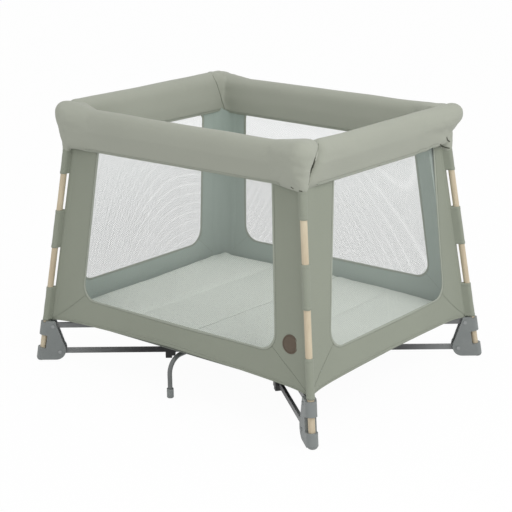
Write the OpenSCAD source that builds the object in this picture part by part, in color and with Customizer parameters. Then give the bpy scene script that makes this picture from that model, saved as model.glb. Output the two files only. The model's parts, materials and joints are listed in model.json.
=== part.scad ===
// Travel play yard: a folding frame of leaning posts, bars and broken top rails, with its soft goods.
// Millimetres. X runs along the long side, -Y is the front, +Z is up and z = 0 is the floor.

/* [Footprint] */
// Middle of the yard to a post's axis along the long side, at the floor
foot_x = 504; // [440:1:580]
// Middle of the yard to a post's axis along the short side, at the floor
foot_y = 411.5; // [350:1:480]
// Lean of each post towards the middle of the yard, degrees
post_lean = 9.6; // [4:0.1:12]

/* [Posts] */
// Outside diameter of a post
post_d = 18; // [14:0.5:24]
// Wall of a post's tube
post_wall = 1.5; // [1:0.1:3]
// Height of a post's lower end above the floor
post_base_z = 12; // [9:0.5:16]

/* [Top rails] */
// Height of the top rails' axis
rail_z = 738; // [660:1:820]
// Outside diameter of a rail tube
rail_d = 20; // [16:0.5:22]
// Wall of a rail tube
rail_wall = 1.5; // [1:0.1:3]
// Thickness of the flat tongue at each end of a rail half
tongue_t = 8; // [6:0.5:10]
// Height of that tongue
tongue_h = 16; // [12:0.5:17]
// Pivot to the tube's open end
tongue_reach = 24; // [22:0.5:32]
// Middle of a rail to each of its two hinge pins
hinge_half = 15; // [13:0.5:20]
// Thickness of the rail hinge's cheeks
hinge_cheek = 4.4; // [3:0.2:6]
// Thickness of the web under the rail hinge
hinge_web = 6; // [4:0.5:8]
// Pressing travel of a lock button
button_travel = 4; // [2:0.5:6]
// Diameter of a lock button's stem
button_d = 10; // [7:0.5:11]

/* [Fold linkage] */
// Post axis to a lower bar's outer pivot, measured at the floor
foot_pivot_in = 58.6; // [52:0.2:70]
// Height of the lower bar's pivots
lower_z = 28; // [24:0.5:34]
// Middle of the yard to a lower bar's inner pivot
hub_pivot_r = 118; // [105:0.5:130]
// Outward step from a lower pivot to the upper pivot
upper_step = 17; // [12:0.5:20]
// Rise from a lower pivot to the upper pivot
upper_rise = 80; // [70:0.5:84]
// Height of a bar's flat-oval section
bar_h = 15; // [11:0.5:17]
// Width of a bar's flat-oval section
bar_w = 9; // [7:0.5:12]
// Wall of a bar
bar_wall = 1.4; // [1:0.1:2]
// Diameter of every pivot pin
pin_d = 6; // [5:0.1:7]
// Radial clearance of a pivot pin in its bore
pin_fit = 0.06; // [0.02:0.01:0.1]
// Middle of the yard to a bar clip's inner end
clip_r = 250; // [200:1:300]
// Length of a bar clip
clip_len = 29; // [20:1:40]

/* [Foot bracket] */
// Width of the bracket and of its collar
bracket_w = 31; // [28:0.5:36]
// Width of the open channel that the bars fold into
channel_w = 20; // [16:0.5:22]
// Height of the bracket's plates
bracket_h = 124; // [118:0.5:126]
// Post axis at the floor to the channel's lower inner edge
bracket_reach = 76; // [72:0.5:84]
// Post axis at the floor to the channel's upper inner edge
bracket_top_reach = 47.5; // [42:0.5:52]
// Radius of the bracket's lower inner corner
bracket_round = 30; // [24:0.5:32]
// Height of the lower edge of the window that shows the post
window_low = 41; // [34:0.5:50]
// Height of the upper edge of that window
window_high = 82; // [70:0.5:95]
// Height of the collar's top
collar_top = 121.5; // [110:0.5:122]
// Diameter of the round foot pad
pad_d = 27; // [20:0.5:31]

/* [Hub] */
// Height of the hub's top face, which carries the floor
hub_top = 129.5; // [126:0.5:134]
// Radius of the hub's core
core_r = 43; // [38:0.5:44]
// Wall of the core
core_wall = 5; // [3:0.5:8]
// Radius of the eyes round the hub's pivots
hub_eye_r = 11; // [9:0.5:13]

/* [Middle legs] */
// Outside diameter of a leg's tube
leg_d = 13; // [10:0.5:15]
// Wall of a leg's tube
leg_wall = 1.5; // [1:0.1:2.5]
// Height of the leg's level run
leg_z = 114; // [106:0.5:116]
// Middle of the yard to a leg's pivot
leg_pivot_y = 56; // [54:0.5:60]
// Middle of the yard to a leg's foot
leg_foot_y = 390; // [330:1:400]
// Radius of the leg's bend
leg_bend = 46; // [30:1:60]
// Diameter of the cap on the leg's end
cap_d = 19; // [17:0.5:24]
// Height of that cap
cap_h = 27; // [18:0.5:36]

/* [Walls] */
// Post axes to the fabric's inner face
wall_inset = 20; // [18:0.5:26]
// Thickness of the fabric
cloth_t = 2.2; // [1:0.1:4]
// Height of the skirt's edge at the corners
skirt_corner = 127; // [126:0.5:130]
// Rise of the skirt's edge at the middle of a long wall
skirt_arch = 13; // [0:0.5:20]
// Height of the windows' lower edge
win_low = 212; // [190:1:260]
// Rail covers' lower edge down to the windows' upper edge
win_high = 7; // [4:0.5:60]
// Half width of a long wall's window at its lower edge
win_long = 352; // [280:1:370]
// Half width of a short wall's window at its lower edge
win_short = 258; // [200:1:275]
// Narrowing of each window edge, mm per mm of height
win_taper = 0.105; // [0:0.005:0.13]
// Corner radius of the windows
win_r = 45; // [15:1:70]
// Thickness of a net's strands
net_t = 0.8; // [0.5:0.1:1.5]
// Width of a net's strands
net_strand = 3; // [2:0.5:5]
// Gaps of a net across and up
net_gaps = [12, 6];
// Radial thickness of the sleeves round the posts
sleeve_t = 2.6; // [1.5:0.1:4]
// Gap between a sleeve and its post
sleeve_gap = 0.4; // [0.3:0.1:1]
// Heights of the lower and upper end of each sleeve below the top one
sleeve_spans = [[127, 228], [348, 460]];
// Length of the top sleeve, which ends under the pouch
sleeve_top = 64; // [40:1:90]

/* [Rail covers] */
// Radius of the padding's round top
cover_r = 24; // [22:0.5:30]
// Rail axis to the centre of that round
cover_rise = 8; // [4:0.5:12]
// Radius of the cover's narrow lower edge
cover_edge_r = 7; // [4:0.5:9]
// Rail axis down to the cover's lower edge
cover_low = 97; // [80:1:118]
// Radius of the pouch over each corner
pouch_r = 38; // [37:0.5:44]
// Post axis to the pouch's middle, outwards along each side
pouch_out = 3; // [0:0.5:6]
// Height of the pouch's top above the rails' padding
pouch_rise = 3; // [0:0.5:8]
// Post axis to the pouch's seam on the long rail
pouch_len = 72; // [70:1:110]
// Radius of the pouch's narrow end on the post
snout_r = 16; // [15.5:0.5:20]
// Cover's lower edge down to that narrow end
snout_z = 8; // [0:0.5:9]

/* [Mattress] */
// Gap between the mattress and the walls
pad_gap = 6; // [3:0.5:20]
// Thickness of the mattress
pad_t = 40; // [25:1:60]
// Thickness of the floor cloth
floor_t = 2; // [1:0.1:4]
// Depth of the fold creases
crease_depth = 7; // [0:0.5:10]
// Panels between the fold creases
pad_panels = 4; // [2:1:6]
// Diameter of the round leather patch
patch_d = 50; // [30:1:60]
// Middle of the front wall to the patch
patch_x = 401.5; // [390:0.5:410]
// Height of the patch
patch_z = 242; // [200:1:300]

/* [Hidden] */
$fn = 48;
eps = 0.01;
loose = 0.3; // gap between a soft piece and what it covers
seat = 0.2; // gap between a moving piece and the piece that it turns against

diag_r = norm([foot_x, foot_y]);
diag_a = atan2(foot_y, foot_x);
lean_x = tan(post_lean) * foot_x / diag_r;
lean_y = tan(post_lean) * foot_y / diag_r;
post_r = post_d / 2;
rail_x = foot_x - lean_x * rail_z;
rail_y = foot_y - lean_y * rail_z;
foot_pivot_r = diag_r - foot_pivot_in;
bar_len = foot_pivot_r - hub_pivot_r;
upper_z = lower_z + upper_rise;
half_x = bar_len * foot_x / diag_r; // a rail half is as long as its bar's share of that side
half_y = bar_len * foot_y / diag_r;
step_x = rail_x - hinge_half - half_x; // post axis to the rail's pivot
step_y = rail_y - hinge_half - half_y;
tongue_slot = tongue_t / 2 + 0.6;
eye_r = tongue_h / 2 + 5;
top_web = tongue_h / 2 + 1.2; // rail axis to the underside of the top corner's web
top_plate = 3.6;
socket_wall = 4;
socket_drop = 52;
pin_head = 2;
core_lip = 1.5; // how far the hub's core reaches below its arms
shoulder_r = pin_d / 2 + 2.6;
floor_z = hub_top + loose;
pad_z = floor_z + floor_t;
cover_z = rail_z - cover_low;
wall_top = cover_z - loose;
win_top = cover_z - win_high;
pouch_z = cover_z - snout_z;
sleeves = concat(sleeve_spans, [[pouch_z - 1 - sleeve_top, pouch_z - 1]]);

CORNERS = ["front_left", "front_right", "back_left", "back_right"];
SIDES = ["front", "right", "back", "left"];

SAGE = [0.6, 0.63, 0.57];
PALE = [0.74, 0.76, 0.72];
WHITE = [0.9, 0.91, 0.91];
BEECH = [0.85, 0.75, 0.64];
GREY = [0.5, 0.51, 0.52];
STEEL = [0.36, 0.37, 0.38];
BLACK = [0.1, 0.1, 0.1];
BROWN = [0.4, 0.32, 0.27];

function corner_sx(i) = i % 2 == 0 ? -1 : 1;
function corner_sy(i) = i < 2 ? -1 : 1;
function is_long(s) = s % 2 == 0;

// Height of the post axis' point as seen in the diagonal plane
function post_at(z) = diag_r - tan(post_lean) * z;

// Points of a round about the corner b of the path a, b, c, with radius r
function fillet(a, b, c, r, n = 8) =
    let (u = (a - b) / norm(a - b), v = (c - b) / norm(c - b))
    let (half = acos(u * v) / 2, m = (u + v) / norm(u + v), o = b + m * r / sin(half))
    let (p = b + u * r / tan(half), q = b + v * r / tan(half))
    let (a0 = atan2(p[1] - o[1], p[0] - o[0]), a1 = atan2(q[1] - o[1], q[0] - o[0]))
    let (d = a1 - a0 > 180 ? a1 - a0 - 360 : a1 - a0 < -180 ? a1 - a0 + 360 : a1 - a0)
    [for (k = [0 : n]) o + r * [cos(a0 + d * k / n), sin(a0 + d * k / n)]];

function rounded(points, r) =
    let (n = len(points))
    [for (i = [0 : n - 1]) each fillet(points[(i + n - 1) % n], points[i], points[(i + 1) % n], r)];

// Places a corner drawn in the diagonal plane: x outwards from the middle, z up
module at_corner(i) {
    rotate([0, 0, atan2(corner_sy(i) * foot_y, corner_sx(i) * foot_x)]) children();
}

// Places a corner drawn at +X +Y by mirroring it
module in_quadrant(i) {
    mirror([corner_sx(i) < 0 ? 1 : 0, 0, 0]) mirror([0, corner_sy(i) < 0 ? 1 : 0, 0]) children();
}

// Along a post's axis, drawn in the diagonal plane, with z measured along the axis
module along_post() {
    translate([diag_r, 0, 0]) rotate([0, -post_lean, 0]) children();
}

// Places a side drawn at the front, with x along the side
module at_side(s) {
    rotate([0, 0, s * 90]) children();
}

// The slanted plane of a wall drawn at the front: x along it, y up it and z outwards
module in_wall(s) {
    reach = is_long(s) ? foot_y : foot_x;
    lean = atan(is_long(s) ? lean_y : lean_x);
    at_side(s) translate([0, wall_inset - reach, 0]) rotate([90 - lean, 0, 0]) children();
}

// Length up a wall for a height above the floor
function up_wall(s, z) = z / cos(atan(is_long(s) ? lean_y : lean_x));

module tube(r, wall, length) {
    difference() {
        cylinder(r = r, h = length);
        translate([0, 0, -1]) cylinder(r = r - wall, h = length + 2);
    }
}

module pin_bore(r, length) {
    rotate([90, 0, 0]) cylinder(r = r, h = length, center = true);
}

// A pivot pin across a channel: shank, outer heads and the shoulders that centre the middle piece
module pivot_pin(width, gap, middle) {
    pin_bore(pin_d / 2, width + eps);
    for (side = [-1, 1]) {
        translate([0, side * (width + pin_head) / 2, 0]) pin_bore(pin_d / 2 + 2.4, pin_head);
        if (gap > middle + 2)
            translate([0, side * (gap + middle) / 4, 0])
                pin_bore(shoulder_r, (gap - middle) / 2 - 2 * seat);
    }
}

module stadium(length, h) {
    translate([0, -h / 2]) square([length, h]);
    circle(d = h);
    translate([length, 0]) circle(d = h);
}

// Posts and their moulded ends

module post(i) {
    top = (rail_z - top_web - 6) / cos(post_lean);
    base = post_base_z / cos(post_lean);
    color(BEECH) at_corner(i) along_post() translate([0, 0, base])
        tube(post_r, post_wall, top - base);
}

// Side view of the bracket's plates: x from the post's foot, negative inwards, y up
module bracket_side(inset = 0) {
    low = 3.5 + inset;
    c = [-bracket_reach + bracket_round, low - inset + bracket_round];
    translate(c) circle(r = bracket_round - inset);
    polygon([
        [-bracket_reach + inset, c[1]],
        [-bracket_top_reach + inset, bracket_h],
        [-tan(post_lean) * bracket_h, bracket_h],
        [-tan(post_lean) * low, low],
        [c[0], low],
        c
    ]);
}

module bracket_channel() {
    wall = 4;
    mouth = lower_z - bar_h / 2 - 5 * seat; // the lower bar leaves the channel above this height
    intersection() {
        translate([0, channel_w / 2, 0]) rotate([90, 0, 0]) linear_extrude(channel_w) union() {
            bracket_side(wall);
            polygon([
                [-bracket_reach - 20, mouth],
                [-bracket_reach + bracket_round, mouth],
                [-tan(post_lean) * bracket_h, bracket_h - eps],
                [-tan(post_lean) * bracket_h, bracket_h + 20],
                [-bracket_reach - 20, bracket_h + 20]
            ]);
        }
        rotate([0, -post_lean, 0]) translate([-post_r - wall - 200, -channel_w, -20])
            cube([200, 2 * channel_w, 2 * bracket_h]);
    }
}

module foot_pad() {
    round = 7;
    r = pad_d / 2;
    rotate_extrude() polygon(concat(
        [[0, 0]],
        [for (a = [-90 : 15 : 0]) [r - round + round * cos(a), round + round * sin(a)]],
        [[r, 2 * round], [0, 2 * round]]
    ));
}

module foot_bracket(i) {
    clear = 0.15;
    color(GREY) at_corner(i) difference() {
        union() {
            translate([diag_r, bracket_w / 2, 0]) rotate([90, 0, 0]) linear_extrude(bracket_w)
                bracket_side();
            along_post() {
                translate([0, 0, window_high]) cylinder(d = bracket_w, h = collar_top - window_high);
                translate([0, 0, 7]) cylinder(d = bracket_w, h = window_low - 7);
            }
            translate([diag_r, 0, 0]) foot_pad();
        }
        along_post() {
            translate([0, 0, post_base_z / cos(post_lean)]) cylinder(r = post_r + clear, h = bracket_h);
            translate([-post_r - 1, -bracket_w, window_low])
                cube([bracket_w, 2 * bracket_w, window_high - window_low]);
        }
        translate([diag_r, 0, 0]) bracket_channel();
        translate([foot_pivot_r, 0, lower_z]) pin_bore(pin_d / 2 + pin_fit, 2 * bracket_w);
        translate([foot_pivot_r + upper_step, 0, upper_z]) pin_bore(pin_d / 2 + pin_fit, 2 * bracket_w);
    }
}

module corner_rivets(i) {
    cheeks = 2 * eye_r - 4;
    color(STEEL) {
        at_corner(i) {
            translate([foot_pivot_r, 0, lower_z]) pivot_pin(bracket_w, channel_w, bar_w);
            translate([foot_pivot_r + upper_step, 0, upper_z]) pivot_pin(bracket_w, channel_w, bar_w);
        }
        in_quadrant(i) translate([rail_x, rail_y, rail_z]) {
            translate([-step_x, 0, 0]) pivot_pin(cheeks, tongue_slot * 2, tongue_t);
            translate([0, -step_y, 0]) rotate([0, 0, 90]) pivot_pin(cheeks, tongue_slot * 2, tongue_t);
        }
    }
}

// Half of the top corner: the clevis that holds one rail's tongue, drawn along -X
module clevis(step) {
    cheeks = 2 * eye_r - 4;
    translate([-step, 0, 0]) {
        pin_bore(eye_r, cheeks);
        translate([0, -cheeks / 2, -eye_r]) cube([step, cheeks, 2 * eye_r]);
        translate([-eye_r, -cheeks / 2, 0]) cube([eye_r, cheeks, top_web + top_plate]);
    }
}

module clevis_slot(step) {
    far = tongue_h / 2 + 1.5;
    translate([-step - 3 * eye_r, -tongue_slot, -3 * eye_r])
        cube([3 * eye_r + far, 2 * tongue_slot, 3 * eye_r + top_web]);
    translate([-step, 0, 0]) pin_bore(pin_d / 2 + pin_fit, 4 * eye_r);
}

module top_corner(i) {
    clear = 0.15;
    socket_r = post_r + socket_wall;
    color(GREY) in_quadrant(i) difference() {
        union() {
            translate([rail_x, rail_y, rail_z]) {
                clevis(step_x);
                rotate([0, 0, 90]) clevis(step_y);
                translate([0, 0, -eye_r]) cylinder(r = socket_r, h = eye_r + top_web + top_plate);
            }
            rotate([0, 0, diag_a]) along_post()
                translate([0, 0, (rail_z - socket_drop) / cos(post_lean)])
                    cylinder(r = socket_r, h = socket_drop - eye_r + 6);
        }
        rotate([0, 0, diag_a]) along_post() translate([0, 0, (rail_z - 2 * socket_drop) / cos(post_lean)])
            cylinder(r = post_r + clear, h = (2 * socket_drop - top_web - 5.5) / cos(post_lean));
        translate([rail_x, rail_y, rail_z]) {
            clevis_slot(step_x);
            rotate([0, 0, 90]) clevis_slot(step_y);
        }
    }
}

// Bars and hub

module bar(length) {
    difference() {
        translate([0, bar_w / 2, 0]) rotate([90, 0, 0]) linear_extrude(bar_w) stadium(length, bar_h);
        translate([-bar_h, bar_wall - bar_w / 2, bar_wall - bar_h / 2])
            cube([length + 2 * bar_h, bar_w - 2 * bar_wall, bar_h - 2 * bar_wall]);
        for (x = [0, length]) translate([x, 0, 0]) pin_bore(pin_d / 2 + pin_fit, 2 * bar_w);
    }
}

module bar_clip() {
    h = lower_z + bar_h / 2 + 3 - 4.5;
    w = bar_w + 16;
    translate([clip_r, -w / 2, 4.5]) difference() {
        cube([clip_len, w, h]);
        translate([-1, -1, -1]) cube([clip_len * 0.35 + 1, w + 2, 8]);
        translate([-1, w / 2 - bar_w / 2 + bar_wall, lower_z - 4.5 - bar_h / 2 + bar_wall])
            cube([clip_len + 2, bar_w - 2 * bar_wall, bar_h - 2 * bar_wall]);
    }
}

module lower_bar(i) {
    color(STEEL) at_corner(i) {
        translate([hub_pivot_r, 0, lower_z]) bar(bar_len);
        bar_clip();
    }
}

module upper_bar(i) {
    color(STEEL) at_corner(i) translate([hub_pivot_r + upper_step, 0, upper_z]) bar(bar_len);
}

// Side view of one hub arm: x from the middle of the yard, y up
module arm_side() {
    low = [hub_pivot_r, lower_z];
    high = [hub_pivot_r + upper_step, upper_z];
    across = [high[1] - low[1], low[0] - high[0]] / norm(high - low) * hub_eye_r;
    translate(low) circle(r = hub_eye_r);
    translate(high) circle(r = hub_eye_r);
    polygon([
        [0, low[1] - hub_eye_r],
        [low[0], low[1] - hub_eye_r],
        low,
        low + across,
        high + across,
        high,
        [high[0], high[1] + hub_eye_r],
        [0, high[1] + hub_eye_r]
    ]);
}

module leg_ears() {
    ear = 5;
    gap = leg_d + 2 * seat + 2;
    for (turn = [0, 180], side = [-1, 1]) rotate([0, 0, turn])
        translate([side * (gap + ear) / 2, -leg_pivot_y, leg_z]) rotate([0, 90, 0]) {
            cylinder(d = leg_d + 6, h = ear, center = true);
            translate([-leg_d / 2 - 3, 0, -ear / 2]) cube([leg_d + 6, leg_pivot_y - core_r + core_wall, ear]);
        }
}

module hub() {
    foot = lower_z - hub_eye_r - core_lip;
    color(BLACK) difference() {
        union() {
            translate([0, 0, foot]) cylinder(r = core_r, h = hub_top - foot);
            for (i = [0 : 3]) at_corner(i) intersection() {
                translate([0, bracket_w / 2, 0]) rotate([90, 0, 0]) linear_extrude(bracket_w) arm_side();
                translate([-1, -bracket_w, 0]) cube([hub_pivot_r + 99, 2 * bracket_w, hub_top]);
            }
            leg_ears();
        }
        translate([0, 0, foot - 1]) cylinder(r = core_r - core_wall, h = hub_top - foot - core_wall + 1);
        for (i = [0 : 3]) at_corner(i) {
            translate([core_r + core_wall, -channel_w / 2, foot - 1])
                cube([hub_pivot_r + 99, channel_w, hub_top]);
            translate([hub_pivot_r, 0, lower_z]) pin_bore(pin_d / 2 + pin_fit, 2 * bracket_w);
            translate([hub_pivot_r + upper_step, 0, upper_z]) pin_bore(pin_d / 2 + pin_fit, 2 * bracket_w);
        }
        for (y = [-leg_pivot_y, leg_pivot_y]) translate([0, y, leg_z]) rotate([0, 90, 0])
            cylinder(r = pin_d / 2 + pin_fit, h = 4 * leg_d, center = true);
    }
}

module hub_pins() {
    gap = leg_d + 2 * seat + 2;
    color(STEEL) {
        for (i = [0 : 3]) at_corner(i) {
            translate([hub_pivot_r, 0, lower_z]) pivot_pin(bracket_w, channel_w, bar_w);
            translate([hub_pivot_r + upper_step, 0, upper_z]) pivot_pin(bracket_w, channel_w, bar_w);
        }
        for (y = [-leg_pivot_y, leg_pivot_y]) translate([0, y, leg_z]) rotate([0, 0, 90])
            pivot_pin(gap + 10, gap, leg_d);
    }
}

// Middle legs, drawn at the front

module middle_leg(turn) {
    r = leg_d / 2;
    level = leg_foot_y - leg_bend - leg_pivot_y;
    drop = leg_z - leg_bend;
    color(GREY) rotate([0, 0, turn]) difference() {
        union() {
            translate([0, -leg_pivot_y, leg_z]) rotate([90, 0, 0]) cylinder(r = r, h = level);
            translate([0, -leg_pivot_y, leg_z]) sphere(r = r);
            translate([0, leg_bend - leg_foot_y, leg_z - leg_bend]) rotate([0, -90, 0]) rotate([0, 0, -90])
                rotate_extrude(angle = 90) translate([leg_bend, 0]) circle(r = r);
            translate([0, -leg_foot_y, cap_h / 2]) cylinder(r = r, h = drop - cap_h / 2);
        }
        translate([0, -leg_pivot_y, leg_z]) rotate([0, 90, 0])
            cylinder(r = pin_d / 2 + pin_fit, h = 4 * r, center = true);
        translate([0, -leg_foot_y, 0]) cylinder(r = r - leg_wall, h = drop);
    }
}

module leg_cap(turn) {
    round = 3;
    clear = 0.1;
    color(GREY) rotate([0, 0, turn]) translate([0, -leg_foot_y, 0]) difference() {
        rotate_extrude() difference() {
            square([cap_d / 2, cap_h]);
            translate([cap_d / 2 - round, 0]) difference() {
                translate([0, -1]) square([round + 1, round + 1]);
                translate([0, round]) circle(r = round);
            }
        }
        translate([0, 0, cap_h / 2]) cylinder(r = leg_d / 2 + clear, h = cap_h);
    }
}

// Top rails, drawn at the front

module rail_half(s, dir) {
    length = is_long(s) ? half_x : half_y;
    reach = is_long(s) ? rail_y : rail_x;
    plug = 18;
    r = rail_d / 2;
    color(STEEL) at_side(s) translate([dir * hinge_half, -reach, rail_z])
        mirror([dir < 0 ? 1 : 0, 0, 0]) difference() {
            union() {
                translate([tongue_reach, 0, 0]) rotate([0, 90, 0])
                    tube(r, rail_wall, length - 2 * tongue_reach);
                for (end = [0, 1]) translate([end * length, 0, 0]) rotate([0, end * 180, 0]) {
                    translate([0, tongue_t / 2, 0]) rotate([90, 0, 0]) linear_extrude(tongue_t)
                        stadium(tongue_reach - tongue_h / 2 + plug, tongue_h);
                    translate([tongue_reach, 0, 0]) rotate([0, 90, 0])
                        cylinder(r = r - rail_wall / 2, h = plug);
                }
            }
            for (x = [0, length]) translate([x, 0, 0]) pin_bore(pin_d / 2 + pin_fit, 2 * rail_d);
        }
}

module rail_hinge(s) {
    reach = is_long(s) ? rail_y : rail_x;
    end = hinge_half + tongue_h / 2 + 5;
    floor_low = -tongue_h / 2 - 0.6 - hinge_web;
    w = 2 * (tongue_slot + hinge_cheek);
    color(BLACK) at_side(s) translate([0, -reach, rail_z]) {
        difference() {
            translate([-end, -w / 2, floor_low]) cube([2 * end, w, tongue_h / 2 + 2 - floor_low]);
            translate([-end - 1, -tongue_slot, floor_low + hinge_web])
                cube([2 * end + 2, 2 * tongue_slot, 3 * tongue_h]);
            translate([0, 0, floor_low - 1]) cylinder(r = button_d / 2 + pin_fit, h = hinge_web + 4 * tongue_h);
        }
        for (x = [-hinge_half, hinge_half]) translate([x, 0, 0]) pin_bore(pin_d / 2, w - hinge_cheek);
    }
}

module lock_button(s) {
    reach = is_long(s) ? rail_y : rail_x;
    under = -tongue_h / 2 - 0.6 - hinge_web;
    cap = 3;
    color(GREY) at_side(s) translate([0, -reach, rail_z + under - button_travel - 0.6]) {
        cylinder(d = button_d, h = button_travel + hinge_web + 8);
        translate([0, 0, -cap]) cylinder(d = button_d + 6, h = cap);
    }
}

// Fabric walls, drawn in their own planes

function wall_half(s, z) = is_long(s) ? foot_x - wall_inset - lean_x * z
    : foot_y - wall_inset - lean_y * z - cloth_t - 2 * eps;

// Height of the skirt's edge at a share of the half width
function skirt(s, t) = skirt_corner + (is_long(s) ? skirt_arch : skirt_arch / 2) * (1 - t * t);

module wall_outline(s, grow = 0) {
    n = 12;
    top = wall_top + grow;
    polygon(concat(
        [for (k = [-n : n]) let (z = skirt(s, k / n)) [k / n * (wall_half(s, z) + grow), up_wall(s, z)]],
        [for (side = [1, -1]) [side * (wall_half(s, top) + grow), up_wall(s, top)]]
    ));
}

module window_outline(s, grow = 0) {
    low = win_low - grow;
    high = win_top + grow / 4;
    half = (is_long(s) ? win_long : win_short) + grow;
    top = half - win_taper * (high - low);
    polygon(rounded([
        [-half, up_wall(s, low)], [half, up_wall(s, low)], [top, up_wall(s, high)], [-top, up_wall(s, high)]
    ], win_r));
}

// The sleeves on one post and the web that joins them to the wall's corner
module post_sleeves() {
    r = post_r + sleeve_gap;
    web = wall_inset * sqrt(2);
    for (span = sleeves) translate([0, 0, span[0] / cos(post_lean)]) {
        h = (span[1] - span[0]) / cos(post_lean);
        tube(r + sleeve_t, sleeve_t, h);
        rotate([0, 0, 225 - diag_a]) translate([r + sleeve_t / 2, -cloth_t / 2, 0])
            cube([web - r - sleeve_t / 2, cloth_t, h]);
    }
}

module wall(s) {
    color(SAGE) {
        in_wall(s) linear_extrude(cloth_t) difference() {
            wall_outline(s);
            window_outline(s);
        }
        if (is_long(s)) for (i = s == 0 ? [0, 1] : [2, 3])
            in_quadrant(i) rotate([0, 0, diag_a]) along_post() post_sleeves();
    }
}

module net(s) {
    margin = 8;
    half = (is_long(s) ? win_long : win_short) + margin;
    high = up_wall(s, win_top - win_low);
    step = [2 * half / net_gaps[0], high / net_gaps[1]];
    in_wall(s) translate([0, 0, -net_t]) linear_extrude(net_t) difference() {
        window_outline(s, margin);
        intersection() {
            window_outline(s, -margin / 4);
            for (i = [0 : net_gaps[0] - 1], j = [0 : net_gaps[1] - 1])
                translate([-half + i * step[0] + net_strand / 2, up_wall(s, win_low) + j * step[1] + net_strand / 2])
                    square(step - [net_strand, net_strand]);
        }
    }
}

module side_nets() {
    color(WHITE) for (s = [0, 2]) net(s);
}

module end_nets() {
    color(WHITE) for (s = [1, 3]) net(s);
}

module leather_patch() {
    color(BROWN) in_wall(0) translate([patch_x, up_wall(0, patch_z), cloth_t])
        cylinder(d = patch_d, h = 1.6);
}

// Padded rail covers, drawn at the front

// Outline of a cover's cross-section: x outwards from the rail's axis, y up
module cover_outline(s) {
    lean = is_long(s) ? lean_y : lean_x;
    hull() {
        translate([0, cover_rise]) circle(r = cover_r);
        translate([lean * cover_low - wall_inset + cloth_t / 2, cover_edge_r - cover_low])
            circle(r = cover_edge_r);
    }
}

module cover_profile(s) {
    difference() {
        cover_outline(s);
        circle(r = rail_d / 2 + loose);
    }
}

module cover_run(s, half) {
    reach = is_long(s) ? rail_y : rail_x;
    translate([half, -reach, rail_z]) rotate([90, 0, -90]) linear_extrude(2 * half) cover_profile(s);
}

module hinge_pocket(s) {
    reach = is_long(s) ? rail_y : rail_x;
    end = hinge_half + tongue_h / 2 + 5 + 2 * loose;
    w = tongue_slot + hinge_cheek + loose;
    low = tongue_h / 2 + hinge_web + button_travel + 5;
    translate([-end, -reach - w, rail_z - low]) cube([2 * end, 2 * w, low + tongue_h]);
}

// The pouch that ends a long cover, turns round the corner and narrows on to the post, drawn at +X +Y
module pouch(grow = 0) {
    hull() {
        translate([rail_x + pouch_out, rail_y + pouch_out, rail_z - pouch_r + cover_rise + cover_r + pouch_rise])
            sphere(r = pouch_r + grow, $fn = 28);
        translate([rail_x - pouch_len, rail_y, rail_z]) rotate([90, 0, 90]) linear_extrude(1) cover_outline(0);
        rotate([0, 0, diag_a]) along_post() translate([0, 0, pouch_z / cos(post_lean)])
            cylinder(r = snout_r + grow, h = 2, $fn = 28);
    }
}

module pouch_hollow() {
    room = 2 * loose;
    side = eye_r - 2 + pin_head + room;
    translate([rail_x, rail_y, rail_z]) {
        for (turn = [0, 90]) {
            step = turn == 0 ? step_x : step_y;
            rotate([0, 0, turn]) translate([-step - eye_r - room - 40, -side, -eye_r - room])
                cube([step + eye_r + 40 + side, 2 * side, eye_r + top_web + top_plate + 2 * room]);
        }
    }
    rotate([0, 0, diag_a]) along_post() translate([0, 0, pouch_z / cos(post_lean) - 9]) rotate([0, 0, 97])
        cylinder(r = post_r + socket_wall + loose, h = (rail_z - pouch_z) / cos(post_lean) + 9);
}

module rail_cover(s) {
    ends = s == 0 ? [0, 1] : s == 1 ? [1, 3] : s == 2 ? [2, 3] : [0, 2];
    color(SAGE) difference() {
        union() {
            at_side(s) cover_run(s, is_long(s) ? rail_x - pouch_len : rail_y);
            if (is_long(s)) for (i = ends) in_quadrant(i) pouch();
        }
        at_side(s) hinge_pocket(s);
        if (is_long(s)) in_wall(s) translate([0, 0, -loose / 2]) linear_extrude(cloth_t + loose)
            wall_outline(s, loose / 2);
        for (i = ends) in_quadrant(i) {
            pouch_hollow();
            if (!is_long(s)) pouch(loose / 3);
        }
    }
}

// Floor and mattress

module floor_cloth() {
    half = [foot_x - lean_x * pad_z, foot_y - lean_y * pad_z] - (wall_inset + 4 * loose) * [1, 1];
    color(SAGE) translate([-half[0], -half[1], floor_z]) cube([2 * half[0], 2 * half[1], floor_t]);
}

// Share of the full thickness at a place on the mattress: drawn in at the edges, with fold creases
function pad_fill(p, half) =
    let (edge = sqrt(max(0, 1 - pow(abs(p[0] / half[0]), 14))) * sqrt(max(0, 1 - pow(abs(p[1] / half[1]), 12))))
    let (pitch = 2 * half[0] / pad_panels, near = [for (k = [1 : pad_panels - 1]) abs(p[0] + half[0] - k * pitch)])
    edge * (1 - crease_depth / pad_t * exp(-pow(min(near) / 7, 2)));

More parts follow.
